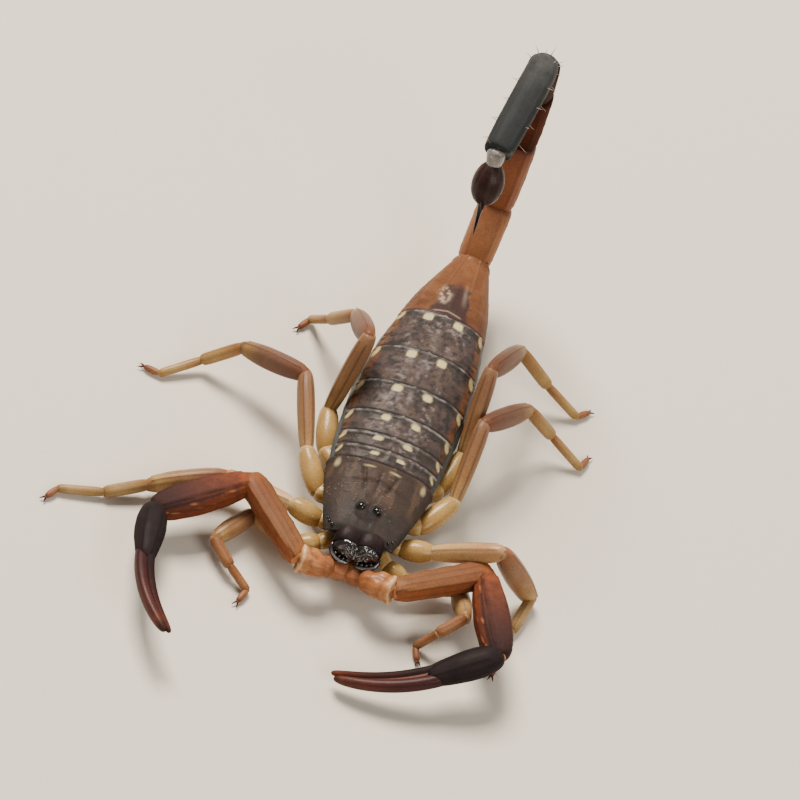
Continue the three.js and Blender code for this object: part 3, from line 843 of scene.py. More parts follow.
# Third tail segment and the skin of the tail's joints: dark red-brown.
TAIL_MIDDLE_SHELL = Cuticle(
    "chitin_tail_rust",
    ((0.0, "#120a08"), (0.14, "#351a12"), (0.5, "#4c281b"), (1.0, "#3c2018")),
    under="#4a2619", mottle="#361c15", keel="#2d1712", dark="#100908", roughness=0.6, shine=0.0,
    sheen=0.01,
)
# Fourth tail segment: its own red-brown, painted darker still as the fifth segment's shade.
TAIL_DUSK_SHELL = Cuticle(
    "chitin_tail_dusk",
    ((0.0, "#1a0d0a"), (0.4, "#2c1711"), (0.8, "#291612"), (1.0, "#241a18")),
    under="#2b1712", mottle="#231310", keel="#241512", dark="#120b0a", roughness=0.6, shine=0.0,
    sheen=0.01,
)
# Fifth tail segment: smooth charcoal; the pale keel colour also paints highlight arcs on its start.
TAIL_END_SHELL = Cuticle(
    "chitin_tail_charcoal",
    ((0.0, "#6a6967"), (0.12, "#525352"), (0.4, "#353738"), (1.0, "#282c2e")),
    under="#2b2e30", mottle="#26292b", keel="#5d5c5b", pale="#8a867b", dark="#15181a",
    mottle_share=0.4, roughness=0.62, shine=0.01, sheen=0.03,
)
# Glassy pale collar at the root of the sting.
COLLAR_SKIN = Cuticle(
    "chitin_collar_glassy",
    ((0.0, "#6c6a68"), (0.5, "#928c87"), (1.0, "#665a54")),
    under="#88837f", mottle="#585350", keel="#a6a3a4", roughness=0.24, shine=0.3, glow=0.25,
)
# Venom bulb: wine black.
BULB_SHELL = Cuticle(
    "chitin_bulb_wine",
    ((0.0, "#442a28"), (0.25, "#301d1c"), (0.7, "#241616"), (1.0, "#170f0f")),
    under="#251817", mottle="#301e1d", keel="#392624", shine=0.05,
)
# Sting: black horn with a pale point.
STING_HORN = Cuticle(
    "chitin_sting_horn",
    ((0.0, "#150c0d"), (0.85, "#090607"), (0.95, "#4a3026"), (1.0, "#84664e")),
    under="#0d0809", mottle="#070505", keel="#221618", roughness=0.2, shine=0.3,
)
# Sensory hairs: pale and stiff.
BRISTLE = Cuticle(
    "chitin_bristle_pale",
    ((0.0, "#84776a"), (1.0, "#c4bbae")),
    under="#9a8d7e", mottle="#8f8273", keel="#a89c8c", roughness=0.4,
)


def finish(
    piece: Piece, cuticle: Cuticle, slot: str, nodes: Sequence[str] = (), at: Matrix | None = None
) -> Piece:
    """Seats a bench piece on the animal, dresses it and reports it.

    Args:
        piece: The finished mesh on the bench, in millimetres.
        cuticle: What it is made of.
        slot: The name of its material slot; not used.
        nodes: CAD nodes that it stands for.
        at: From the bench to the animal's frame, if they differ.

    Returns:
        The piece.
    """
    for name, start in (("along", 0.5), ("zones", 0.0)):
        if name not in piece.data.attributes:
            tag(piece, name, start, 0.0, 0.0)
    piece.data.transform(SEAT @ (at or Matrix.Identity(4)))
    piece.data.materials.clear()
    piece.data.materials.append(cuticle.build())
    pick(piece)
    bpy.ops.object.shade_smooth()
    if nodes:
        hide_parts(*nodes)
    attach(piece, BODY)
    LOG.info("%s: %d faces", piece.name, len(piece.data.polygons))
    return piece


# ---------------------------------------------------------------- bristles


def bristles(
    name: str, roots: Sequence[Vector], ways: Sequence[Vector], length: float, radius: float = 0.022
) -> Piece:
    """Stiff hairs as slim cones joined into one mesh.

    Args:
        name: Name of the new object.
        roots: Where each hair grows, in millimetres.
        ways: The way each hair points.
        length: Usual length.
        radius: Radius at the root.

    Returns:
        The new object.
    """
    deselect()
    bpy.ops.mesh.primitive_cone_add(
        vertices=5, radius1=radius, radius2=radius * 0.25, depth=1.0, location=(0, 0, 0.5)
    )
    pattern = bpy.context.object
    bpy.ops.object.transform_apply(location=True, rotation=True, scale=True)
    hairs = []
    for index, (root, way) in enumerate(zip(roots, ways)):
        hair = twin(pattern, f"{name}_{index}")
        size = length * (0.7 + 0.6 * float(hashed(np.array([[index, 3.0, 7.0]]), 5)[0]))
        turn = way.to_track_quat("Z", "Y").to_matrix().to_4x4()
        hair.data.transform(Matrix.Translation(root) @ turn @ Matrix.Diagonal((1, 1, size, 1)))
        hairs.append(hair)
    discard([pattern])
    return merged(name, hairs)


# ---------------------------------------------------------------- trunk


# How far the back and belly plates start from the seam, and the spacing of their vertices.
BACK_RISE = 0.25
BELLY_DROP = 0.5
PLATE_GRID = 0.085


@dataclass
class Plate:
    """One curved plate of the back or the belly, as a shell over the trunk's outline."""

    name: str
    start: float
    end: float
    lip: float = 0.07
    tuck: float = 0.22
    across: int = 90
    thick: float = 0.14
    spread: float = 88.0
    below: bool = False
    shrink: float = 0.0

    def surface(self, u: np.ndarray, y: np.ndarray, lift: np.ndarray) -> np.ndarray:
        """Points on the trunk's outline.

        Args:
            u: From -1 to 1 across the plate, edge to edge.
            y: Along the trunk.
            lift: Height over the outline.

        Returns:
            The points, one row each.
        """
        turn = u * math.radians(self.spread)
        half = BUILD.half(y) - self.shrink + lift
        if self.below:
            base = BUILD.seam - BELLY_DROP
            reach = BUILD.belly(y) - base - lift
        else:
            base = BUILD.seam + BACK_RISE
            reach = BUILD.back(y) - base + lift
        x = BUILD.middle(y) + half * np.sign(turn) * np.abs(np.sin(turn)) ** 0.9
        z = base + reach * np.abs(np.cos(turn)) ** 0.9
        return np.stack([x, y, z], axis=1)

    def blank(self) -> tuple[Piece, np.ndarray, np.ndarray]:
        """The flat sheet that the plate is raised from.

        Returns:
            The sheet, and each vertex's place across (-1 to 1) and along (0 to 1).
        """
        deselect()
        rows = max(12, round((self.end - self.start + 0.3) / PLATE_GRID))
        bpy.ops.mesh.primitive_grid_add(x_subdivisions=self.across, y_subdivisions=rows, size=2.0)
        sheet = bpy.context.object
        sheet.name = self.name
        points = positions(sheet)
        return sheet, points[:, 0], (points[:, 1] + 1) / 2

    def shell(self, sheet: Piece) -> None:
        """Gives the raised sheet its thickness, inwards."""
        recalculate_open(sheet, self.below)
        apply_modifier(sheet, "SOLIDIFY", thickness=self.thick, offset=-1.0, use_even_offset=False)


def recalculate_open(sheet: Piece, below: bool) -> None:
    """Turns an open sheet's faces up, or down for a belly plate."""
    mesh = sheet.data
    total = sum(face.normal.z * face.area for face in mesh.polygons)
    if (total < 0) != below:
        mesh.flip_normals()


@dataclass
class Trunk:
    """The seven back plates, the five belly plates and the soft skin between them."""

    back_edges: tuple[float, ...] = (4.0, 5.2, 6.5, 8.6, 11.7, 15.6, 20.3, 28.3)
    belly_edges: tuple[float, ...] = (6.6, 9.7, 12.8, 16.1, 20.4, 28.2)
    spot_y: tuple[float, ...] = (0.42, 0.36, 0.42, 0.5, 0.55, 0.5)
    spot_x: tuple[float, ...] = (1.02, 1.15, 1.18, 1.2, 1.2, 1.2)
    spot_wide: tuple[float, ...] = (0.36, 0.4, 0.38, 0.4, 0.41, 0.41)
    spot_long: tuple[float, ...] = (0.14, 0.18, 0.28, 0.37, 0.41, 0.41)
    margins: tuple[float, ...] = (0.2, 0.25, 0.45, 0.75, 1.0, 1.0)

    def back_plate(self, index: int) -> None:
        """Builds back plate number index, from 1 to 6, with its keel, grains, spots and painted
        highlights.
        """
        start, end = self.back_edges[index - 1], self.back_edges[index]
        plate = Plate(f"tergite_plate_{index}", start, end, spread=66.0, shrink=0.04)
        sheet, u, v = plate.blank()
        length = end - start
        y = start - plate.tuck + v * (length + plate.tuck + 0.16)
        ahead, behind = y - start, end - y
        # The front edge slides under the plate before it, and the rear edge stands proud.
        sink = -0.16 * step(0.25, -0.05, ahead)
        proud = plate.lip * step(0.55, 0.12, behind) - 0.09 * step(0.0, -0.16, behind)
        flat = plate.surface(u, y, sink + proud)
        keel = bump(np.abs(flat[:, 0] - BUILD.middle(y)), 0.0, 0.22) * step(0.2, 0.6, v)
        fold = clouds(flat * np.array([1.0, 1.6, 0.4]), 0.55, 40 + index) - 0.5
        grain = pebbles(flat, 0.19, 0.6, 3 + index) * (0.45 + 0.55 * step(0.45, 0.9, v))
        grain *= step(0.0, 0.5, ahead)
        edge, groove = bump(behind, 0.06, 0.17), bump(behind, 0.32, 0.16)
        place(sheet, flat)
        lift = 0.08 * keel + 0.05 * grain - 0.035 * groove + 0.1 * fold * step(0.1, 0.6, ahead)
        raise_sheet(sheet, lift, False)
        k = index - 1
        reach = BUILD.half(y)
        offset = flat[:, 0] - BUILD.middle(y)
        rim = 0.5 + 0.5 * clouds(flat, 0.35, 9)
        spot_mid = end - self.spot_y[k] * (1.0 if k > 1 else 0.9)
        wide, long = self.spot_wide[k], self.spot_long[k]
        aside = np.abs(offset) - self.spot_x[k]
        # Squarish spots: a blend of a round and a square outline.
        away = np.hypot(aside / wide, (y - spot_mid + 0.12 * aside) / long)
        boxed = np.maximum(np.abs(aside / wide), np.abs((y - spot_mid) / long))
        spot = step(1.12, 0.78, 0.45 * away + 0.55 * boxed + 0.22 * (rim - 0.5))
        side_away = np.hypot(
            (np.abs(offset) / reach - 0.86) / 0.055,
            (y - spot_mid + 0.9 * (np.abs(offset) - 0.86 * reach)) / (long * 1.1 + 0.04),
        )
        side = step(1.2, 0.7, side_away + 0.3 * (rim - 0.5))
        strip = 0.55 * bump(behind, 0.42, 0.5) * step(0.95, 0.8, np.abs(offset) / reach)
        strip += 0.8 * step(0.5, 0.15, ahead)
        tag(sheet, "along", v, offset / reach, np.ones_like(v))
        blotch = 0.68 * step(0.5, 0.7, clouds(flat * np.array([1.3, 1.0, 0.6]), 0.42, 90 + index))
        # Painted highlights in the keel colour: a broken pale line along the rear edge and glint specks.
        line = edge * step(0.25, 0.75, clouds(flat, 0.5, 50)) * 0.8
        specks = step(0.54, 0.66, clouds(flat, 0.24, 96)) * step(0.4, 0.56, clouds(flat, 0.9, 95))
        glint = 0.42 * specks * step(3.0, 1.6, np.abs(offset)) * step(0.15, 0.5, ahead)
        pale = np.clip(spot + 0.75 * side, 0, 1)
        dark = np.clip(np.maximum(strip, blotch), 0, 0.9)
        tag(sheet, "zones", np.clip(line + 0.15 * keel + glint, 0, 1), pale, dark)
        tint = step(0.76, 0.9, np.abs(offset) / reach + 0.12 * (rim - 0.5)) * self.margins[k]
        patch = step(0.36, 0.6, clouds(flat * np.array([1.5, 0.8, 0.5]), 0.8, 70 + index))
        column = 0.6 * bump(offset, 0.0, 1.0) + 0.5 * bump(np.abs(offset) - 1.5, 0.0, 0.9)
        tag(sheet, "tint", tint, np.clip(column * patch, 0, 0.9), 0.0)
        plate.shell(sheet)
        finish(sheet, BACK_PLATE, "tergite_cuticle", [f"tergite_{index}"])

    def last_back_plate(self) -> None:
        """Builds the seventh back plate: amber, tapering, with five keels, a dark middle and a painted
        highlight.
        """
        start, end = self.back_edges[6], self.back_edges[7]
        plate = Plate("tergite_plate_7", start, end, tuck=0.2, across=84, spread=84.0, shrink=0.03)
        sheet, u, v = plate.blank()
        y = start - plate.tuck + v * (end - start + plate.tuck + 0.1)
        ahead, behind = y - start, end - y
        sink = -0.16 * step(0.3, -0.05, ahead)
        flat = plate.surface(u, y, sink + 0.05 * bump(behind, 0.1, 0.4))
        offset = flat[:, 0] - BUILD.middle(y)
        share = offset / BUILD.half(y)
        keels = bump(share, 0.0, 0.07) * step(1.0, 1.6, ahead) * step(5.2, 3.8, ahead)
        for beside in (0.36, 0.72):
            keels += bump(np.abs(share), beside, 0.06) * step(1.2, 2.2, ahead)
        grain = pebbles(flat, 0.2, 0.5, 11) * step(0.2, 0.8, ahead) * step(7.5, 4.5, ahead)
        place(sheet, flat)
        raise_sheet(sheet, 0.09 * keels + 0.035 * grain - 0.03 * bump(behind, 0.5, 0.3), False)
        rim = clouds(flat, 0.5, 4)
        centre = step(0.12, -0.15, np.abs(offset - 0.1) - (1.6 - 0.2 * ahead) + 0.5 * (rim - 0.5))
        centre *= step(5.2, 4.0, ahead + rim)
        # A painted highlight: a flecked pale patch beside the middle and a faint stroke on the other
        # side.
        across = (offset + 0.85 - 0.12 * (ahead - 2.0)) / 0.8
        shine = bump(np.hypot(across, (ahead - 2.0 + 0.7 * offset) / 1.45), 0.0, 1.0)
        highlight_flecks = clouds(flat * np.array([1.3, 1.0, 1.0]), 0.3, 52)
        shine = np.clip(1.5 * shine, 0, 1) * (0.12 + 1.0 * step(0.38, 0.6, highlight_flecks))
        highlight_stroke = bump(offset - 1.15 + 0.14 * ahead, 0.0, 0.26) * bump(ahead, 3.2, 1.8)
        shine = np.maximum(shine, 0.3 * highlight_stroke)
        front = step(0.55, 0.1, ahead) * step(0.95, 0.7, np.abs(share))
        pale_line = bump(ahead, 0.75 - 0.25 * np.abs(offset), 0.13) * step(1.3, 0.9, np.abs(offset))
        tag(sheet, "along", v, share, np.ones_like(v))
        pale = np.clip(0.95 * shine * (0.6 + 0.5 * rim) + 0.5 * pale_line, 0, 0.8)
        tag(sheet, "zones", 0.1 * keels, pale, np.clip(centre + front, 0, 1) * 0.92)
        plate.shell(sheet)
        finish(sheet, LAST_PLATE, "last_tergite_cuticle", ["tergite_7"])

    def belly_plate(self, number: int) -> None:
        """Builds belly plate number 3 to 7, the first four with a pair of breathing slits."""
        start, end = self.belly_edges[number - 3], self.belly_edges[number - 2]
        plate = Plate(
            f"sternite_plate_{number}", start, end, below=True, across=56, shrink=0.28, thick=0.12
        )
        sheet, u, v = plate.blank()
        y = start - 0.1 + v * (end - start + 0.2)
        ahead, behind = y - start, end - y
        flat = plate.surface(u, y, -0.1 * step(0.3, 0.0, ahead) + 0.04 * step(0.5, 0.1, behind))
        offset = flat[:, 0] - BUILD.middle(y)
        across = (np.abs(offset) - 0.52 * BUILD.half(y)) / 0.42
        along = (ahead - 0.55 * (end - start) - 0.25 * (np.abs(offset) - 2.2)) / 0.09
        slit = step(1.0, 0.5, np.hypot(across, along)) * (number < 7)
        keels = bump(np.abs(offset / BUILD.half(y)), 0.4, 0.06) * (number == 7)
        place(sheet, flat)
        raise_sheet(sheet, 0.06 * keels - 0.07 * slit, True)
        tag(sheet, "along", v, offset / BUILD.half(y), np.zeros_like(v))
        tag(sheet, "zones", 0.4 * keels + 0.3 * bump(behind, 0.06, 0.15), 0.0 * v, slit)
        plate.shell(sheet)
        finish(sheet, BELLY_PLATE, "belly_cuticle", [f"sternite_{number}"])

    def skin(self) -> None:
        """Builds the soft skin that shows between the plates, as one closed body."""
        stops = (-2.35, -2.0, -1.2, 0.5, 2.5, 4.5, 6.5, 9, 12, 15.5, 18, 20.5, 23.5, 26, 28.2, 28.6)
        rings = []
        for y in stops:
            inset = 0.4 if y < 1.0 else 0.16 if y < 4.5 else 0.05
            inset += 0.35 if y in (stops[0], stops[-1]) else 0.0
            top = float(BUILD.back(y)) - 0.42
            low = float(BUILD.belly(y)) + (0.9 if y < 6 else 0.4)
            half, middle = float(BUILD.half(y)) - inset, float(BUILD.middle(y))
            rings.append(Ring(float(y), half, (top - low) / 2, middle, (top + low) / 2))
        body = refine(loft("trunk_skin", rings, 28, 2.3), 2)
        points = positions(body)
        y = points[:, 1]
        folds = (
            clouds(points * np.array([1.0, 0.35, 2.6]), 0.5, 6) + 0.4 * pebbles(points, 0.26, 0.8, 21)
        )
        raise_by(body, 0.12 * (folds - 0.6))
        side = bump(points[:, 2], BUILD.seam - 0.15, 0.5)
        tag(body, "along", (y + 2.4) / 31, 0 * y, 0.5 + 0 * y)
        # Painted highlights on the raised fold crests at the sides, and painted shade in the fold
        # hollows.
        tag(body, "zones", 0.5 * (folds > 0.8) * side, 0 * y, 0.25 * (folds < 0.4))
        finish(body, SOFT_SKIN, "belly_cuticle")

    def build(self) -> None:
        """Builds every plate and the skin."""
        self.skin()
        for index in range(1, 7):
            self.back_plate(index)
        self.last_back_plate()
        for number in range(3, 8):
            self.belly_plate(number)


def raise_sheet(sheet: Piece, amount: np.ndarray, below: bool) -> None:
    """Pushes an open sheet's vertices outwards, up for the back and down for the belly."""
    recalculate_open(sheet, below)
    raise_by(sheet, amount)


# ---------------------------------------------------------------- head


# The left jaw's two fingers, each with its middle line and its half thickness along it, and the
# places of its teeth.
JAW_FINGERS = (
    (
        "moving",
        (
            (1.02, -3.86, -0.2), (1.04, -4.26, -0.42), (0.86, -4.58, -0.64), (0.52, -4.74, -0.82),
            (0.12, -4.8, -0.92), (-0.3, -4.78, -0.98), (-0.68, -4.68, -0.98),
        ),
        (0.15, 0.2, 0.22, 0.22, 0.21, 0.17, 0.08),
    ),
    (
        "fixed",
        ((-0.7, -4.36, 0.06), (-0.8, -4.54, -0.16), (-0.76, -4.64, -0.4), (-0.64, -4.64, -0.64)),
        (0.1, 0.13, 0.12, 0.06),
    ),
)
JAW_TEETH = (
    (0.6, -4.6, -0.5), (0.28, -4.7, -0.62), (-0.06, -4.72, -0.7), (-0.4, -4.7, -0.74),
    (-0.6, -4.62, -0.1),
)


@dataclass
class Head:
    """The shield over the head with its eyes, and the pair of jaws under its front edge."""

    front: float = -2.3
    rear: float = 4.0
    eye: float = 0.33
    jaw_apart: float = 0.78
    jaw_lean: float = 0.14
    small_eyes: tuple[tuple[float, ...], ...] = (
        (2.2, -1.95, 4.78, 0.13), (2.45, -1.7, 4.76, 0.12), (2.62, -1.42, 4.72, 0.1),
    )

    def shield(self) -> None:
        """Builds the shield: eye hump, median groove, side furrows, painted glints on grains, streaks.
        """
        plate = Plate("carapace_shield", self.front, self.rear, across=110, thick=0.16, spread=90.0)
        sheet, u, v = plate.blank()
        # The front edge is slightly hollow in the middle.
        notch = 0.1 * (1 - np.clip(np.abs(u) / 0.75, 0, 1) ** 2)
        y = self.front + notch * (1 - v) ** 3 + v * (self.rear + 0.14 - self.front)
        ahead, behind = y - self.front, self.rear - y
        flat = plate.surface(u, y, 0.05 * step(0.5, 0.1, behind) - 0.08 * step(0.0, -0.14, behind))
        # The front rolls down over the jaws.
        nose = step(0.55, 0.0, v * (self.rear - self.front))
        flat[:, 2] -= 0.3 * nose**2 * np.abs(np.cos(u * math.pi / 2)) ** 0.5
        x = flat[:, 0]
        hump = np.clip(1 - np.hypot(x / 1.15, (y + 0.1) / 1.05) ** 2, 0, 1) ** 1.3
        flat[:, 2] += 0.3 * hump
        groove = 0.5 * step(-1.4, -0.8, -np.abs(y + 0.05) - 0.3) + step(1.0, 1.8, y) * step(3.9, 3.0, y)
        groove *= bump(x, 0.0, 0.2)
        between = bump(x, 0.0, 0.3) * bump(y, EYE_Y, 0.9)
        furrow = bump(np.abs(x) - 0.75 - 0.28 * np.clip(y - 1.4, 0, 3), 0.0, 0.28)
        furrow *= step(1.2, 2.2, y) * step(3.9, 3.2, y)
        cross = bump(y - 2.6 + 0.25 * np.abs(x), 0.0, 0.3) * step(2.9, 1.2, np.abs(x))
        ridge = bump(np.abs(x) - 0.62, 0.0, 0.26) * step(-2.2, -1.4, y) * step(1.6, 0.9, y)
        share = (0.25 + 0.75 * step(0.4, 2.2, ahead)) * step(0.03, 0.25, v)
        grain = pebbles(flat, 0.2, 0.5, 5) * share * (0.5 + 0.5 * (clouds(flat, 1.1, 8) > 0.48))
        place(sheet, flat)
        edge = bump(ahead - notch * 0.9, 0.06, 0.14)
        hollow = 0.1 * groove + 0.1 * between + 0.1 * furrow + 0.05 * cross
        raise_sheet(sheet, 0.06 * grain - hollow + 0.05 * ridge + 0.03 * edge, False)
        rim = clouds(flat, 0.6, 12)
        streak = step(0.5, 0.72, clouds(flat * np.array([1.7, 0.5, 0.4]), 0.7, 31)) * step(0.3, 1.3, y)
        front_grey = step(-0.2, -1.0, y)
        line = bump(y, self.rear - 0.3 - 0.05 * np.abs(x), 0.11) * bump(np.abs(x), 1.0, 0.55) ** 0.5
        side = bump(np.hypot((np.abs(x) - 3.35) / 0.3, (y - 3.5) / 0.55), 0.0, 1.0) * 0.8
        ring = step(0.5, 0.3, np.hypot(np.abs(x) - EYE_X, y - EYE_Y))
        bead = step(0.55, 0.8, pebbles(flat, 0.24, 0.8, 17)) * edge
        tag(sheet, "along", v, x / BUILD.half(y), np.ones_like(v))
        # Painted highlights: pale glints on the grain tops behind the grey front and on the edge beads.
        painted_highlight = np.clip(0.32 * (grain > 0.62) * (1 - front_grey) + 0.35 * bead, 0, 1)
        dark = np.clip(0.55 * groove + 0.4 * between + 0.5 * furrow + 0.35 * cross + ring, 0, 0.85)
        tag(sheet, "zones", painted_highlight, np.clip(line * (0.6 + rim * 0.7) + side, 0, 1), dark)
        tag(sheet, "tint", 0.5 * streak, 0.5 * bump(x, 0.0, 1.6) * step(0.9, 1.8, y), 0.0)
        plate.shell(sheet)
        finish(sheet, SHIELD_SHELL, "carapace_cuticle", ["carapace"])

    def eyes(self) -> None:
        """Builds the two large eyes on the hump and the three small ones at each front corner."""
        for side in Side:
            radii = (self.eye, self.eye, self.eye * 0.92)
            eye = ball(f"median_eye_{side.label}_lens", radii, (0, 0, 0), 32)
            at = Matrix.Translation((side.value * EYE_X, EYE_Y, EYE_Z))
            finish(eye, LENS, "eye", [f"median_eye_{side.label}"], at)
            beads = [
                ball(f"bead_{k}", (radius, radius, radius), (side.value * x, y, z), 14)
                for k, (x, y, z, radius) in enumerate(self.small_eyes)
            ]
            finish(merged(f"side_eyes_{side.label}", beads), LENS, "eye")

    def crescent(self, name: str, path: Sequence[Sequence[float]], sizes: Sequence[float]) -> Piece:
        """A curved finger drawn through a few points, with a painted highlight on its upper front side.

        Args:
            name: Name of the piece.
            path: Points of its middle line.
            sizes: Its half thickness at each point.

        Returns:
            The finger.
        """
        count = len(path)
        straight = refine(loft(name, [Ring(float(k), 1.0, 1.0) for k in range(count)], 12), 2)
        points = positions(straight)
        line, index = np.array(path), np.arange(count)
        at = np.clip(points[:, 1], 0, count - 1)
        before, centre, later = (
            np.stack([np.interp(at + shift, index, line[:, k]) for k in range(3)], axis=1)
            for shift in (-0.6, 0.0, 0.6)
        )
        way = later - before
        way /= np.linalg.norm(way, axis=1)[:, None]
        across = np.cross(way, np.array([0.0, 0.0, 1.0]))
        across /= np.linalg.norm(across, axis=1)[:, None]
        radius = np.interp(at, index, np.array(sizes))[:, None]
        spokes = across * points[:, :1] + np.cross(across, way) * points[:, 2:]
        place(straight, centre + radius * spokes)
        recalculate(straight)
        t = at / (count - 1)
        tag(straight, "along", t, 0 * t, 0 * t + 0.5)
        facing = normals(straight)
        # A painted highlight on the side that faces up and forwards.
        painted_highlight = step(0.84, 0.97, 0.6 * facing[:, 2] - 0.8 * facing[:, 1]) * bump(t, 0.55, 0.45)
        tag(straight, "zones", painted_highlight, 0 * t, 0 * t)
        return straight

    def jaw_base(self, side: Side, at: Matrix) -> None:
        """Builds the swollen matt base of one jaw."""
        s = side.value
        base = refine(
            loft(
                f"jaw_base_{side.label}",
                outline(
                    (-1.9, 0.6, 0.5), (-2.2, 0.92, 0.8), (-2.8, 1.04, 0.95, 0.03 * s, -0.02),
                    (-3.4, 1.1, 0.98, 0.06 * s, -0.08), (-3.95, 1.08, 0.93, 0.05 * s, -0.17),
                    (-4.14, 1.0, 0.84, 0.04 * s, -0.22), (-4.2, 0.7, 0.6, 0.02 * s, -0.24),
                ),
                18,
                2.5,
            ),
            2,
        )
        points = positions(base)
        t = (-points[:, 1] - 1.9) / 2.3
        grain = pebbles(points, 0.16, 0.6, 40) * step(0.3, 0.8, t)
        raise_by(base, 0.02 * grain)
        tag(base, "along", t, 0 * t, step(-0.3, 0.3, points[:, 2]) * 2 - 1)
        tag(base, "zones", 0.3 * (grain > 0.6), 0 * t, 0 * t)
        finish(base, JAW_BASE, "jaw_cuticle", [f"chelicera_{side.label}"], at)

    def jaw_front(self, side: Side, at: Matrix) -> None:
        """Builds a jaw's glossy dome: knob, arched folds above, slanting ridges inside, painted
        highlights.
        """
        s = side.value
        front = ball(f"jaw_front_{side.label}", (1.06, 0.7, 0.96), (-0.04 * s, -3.94, -0.3), 96)
        points = positions(front)
        out, high = s * points[:, 0], points[:, 2]
        away = np.hypot(out - 0.12, 0.9 * (high + 0.16))
        knob = bump(away, 0.0, 0.26)
        arches = (bump(away, 0.46, 0.1) + 0.7 * bump(away, 0.74, 0.09)) * step(-0.25, 0.1, high)
        slant = waves(0.8 * out - high, 0.3, 2.0 * clouds(points, 0.4, 43))
        inner = slant * step(-0.12, -0.34, out) * step(0.3, 0.0, high) * step(-1.1, -0.8, high)
        pits = step(0.45, 0.7, clouds(points, 0.24, 44)) * step(0.32, 0.42, away)
        ahead = step(-4.0, -4.25, points[:, 1])
        raise_by(front, (0.14 * knob + 0.1 * arches + 0.1 * inner + 0.05 * pits) * ahead)
        # Painted highlights on the crests of the arches and inner ridges, and on the knob's top.
        painted_highlight = np.clip(0.45 * arches**4 + inner**4 * 0.6 + 0.5 * (away < 0.1), 0, 0.9) * ahead
        tag(front, "along", np.clip((0.4 - high) * 0.6, 0, 1), 0 * away, 0 * away + 0.5)
        tag(front, "zones", painted_highlight, 0 * away, 0 * away)
        finish(front, JAW_TIP, "jaw_cuticle", at=at)

    def jaw_fingers(self, side: Side, at: Matrix) -> None:
        """Builds a jaw's two curved fingers with their teeth, each carrying painted highlights."""
        s = side.value
        pieces = [
            self.crescent(name, [(s * x, y, z) for x, y, z in path], sizes)
            for name, path, sizes in JAW_FINGERS
        ]
        for k, (x, y, z) in enumerate(JAW_TEETH):
            tooth = ball(f"tooth_{k}", (0.1, 0.1, 0.12), (s * x, y, z), 12)
            tag(tooth, "along", 0.4, 0.0, 0.5)
            # A faint painted highlight on each tooth.
            tag(tooth, "zones", 0.25, 0.0, 0.0)
            pieces.append(tooth)
        finish(merged(f"jaw_fingers_{side.label}", pieces), JAW_TIP, "jaw_cuticle", at=at)

    def build(self) -> None:
        """Builds the shield, the eyes and the jaws."""
        self.shield()
        self.eyes()
        for side in Side:
            beside = side.value * self.jaw_apart + self.jaw_lean
            at = Matrix.Translation((beside, 1.06, 4.2))
            self.jaw_base(side, at)
            self.jaw_front(side, at)
            self.jaw_fingers(side, at)


# ---------------------------------------------------------------- limb articles


# Spacing of the beads along a keel, in millimetres.
KEEL_BEAD = 0.34


@dataclass(frozen=True)
class Keel:
    """A raised line of small beads along an article; its turn and width are in degrees."""

    turn: float
    rise: float
    width: float = 9.0
    grains: float = 0.6


def crests(*rows: Sequence[float], grains: float = 0.6) -> tuple[Keel, ...]:
    """Keels from rows of turn, rise and half width."""
    return tuple(Keel(*row, grains=grains) for row in rows)


@dataclass(frozen=True)
class Article:
    """One hard article of a limb or tail: an outline along its length, keels and grains."""

    length: float
    rings: tuple[Ring, ...]
    keels: tuple[Keel, ...] = ()
    square: float = 2.4
    grain: float = 0.0
    grain_mm: float = 0.22
    around: int = 16
    salt: int = 1

    def shape(self, name: str) -> Piece:
        """Models the article on the bench.

        Args:
            name: Name of the new object.

        Returns:
            The article, with its colour zones stored.
        """
        piece = refine(loft(name, self.rings, self.around, self.square), 2)
        points, facing = positions(piece), normals(piece)
        t = points[:, 1] / self.length
        lift, lines = np.zeros(len(points)), np.zeros(len(points))
        turn = np.degrees(
            np.arctan2(points[:, 0] / self.widest("wide"), points[:, 2] / self.widest("high"))
        )
        fade = step(0.04, 0.1, t) * step(0.97, 0.92, t)
        for index, keel in enumerate(self.keels):
            off = (turn - keel.turn + 180) % 360 - 180
            beads = 1 - keel.grains + keel.grains * waves(points[:, 1], KEEL_BEAD, index)
            line = bump(off, 0.0, keel.width) * fade
            lift += keel.rise * line * beads
            lines = np.maximum(lines, line)
        grains = pebbles(points, self.grain_mm, 0.55, self.salt) if self.grain else 0 * t
        cover = step(0.02, 0.1, t) * step(0.99, 0.9, t)
        raise_by(piece, lift + self.grain * grains * cover)
        tag(piece, "along", np.clip(t, 0, 1), facing[:, 0], facing[:, 2])
        tag(piece, "zones", 0.75 * lines, 0 * t, 0 * t)
        return piece

    def widest(self, key: str) -> float:
        """The largest half width or half height of the article."""
        return max(getattr(ring, key) for ring in self.rings)


def joint_ball(name: str, radii: Sequence[float], matrix: Matrix) -> Piece:
    """A soft joint between two articles, in place in the animal's frame in millimetres."""
    piece = ball(name, radii, (0, 0, 0), 20)
    piece.data.transform(matrix)
    return piece


# ---------------------------------------------------------------- tail


@dataclass(frozen=True)
class Segment:
    """One ring of the tail: sizes in millimetres and angles in degrees."""

    length: float
    wide: float
    high: float
    heading: float
    pitch: float
    finish: Cuticle
    slot: str


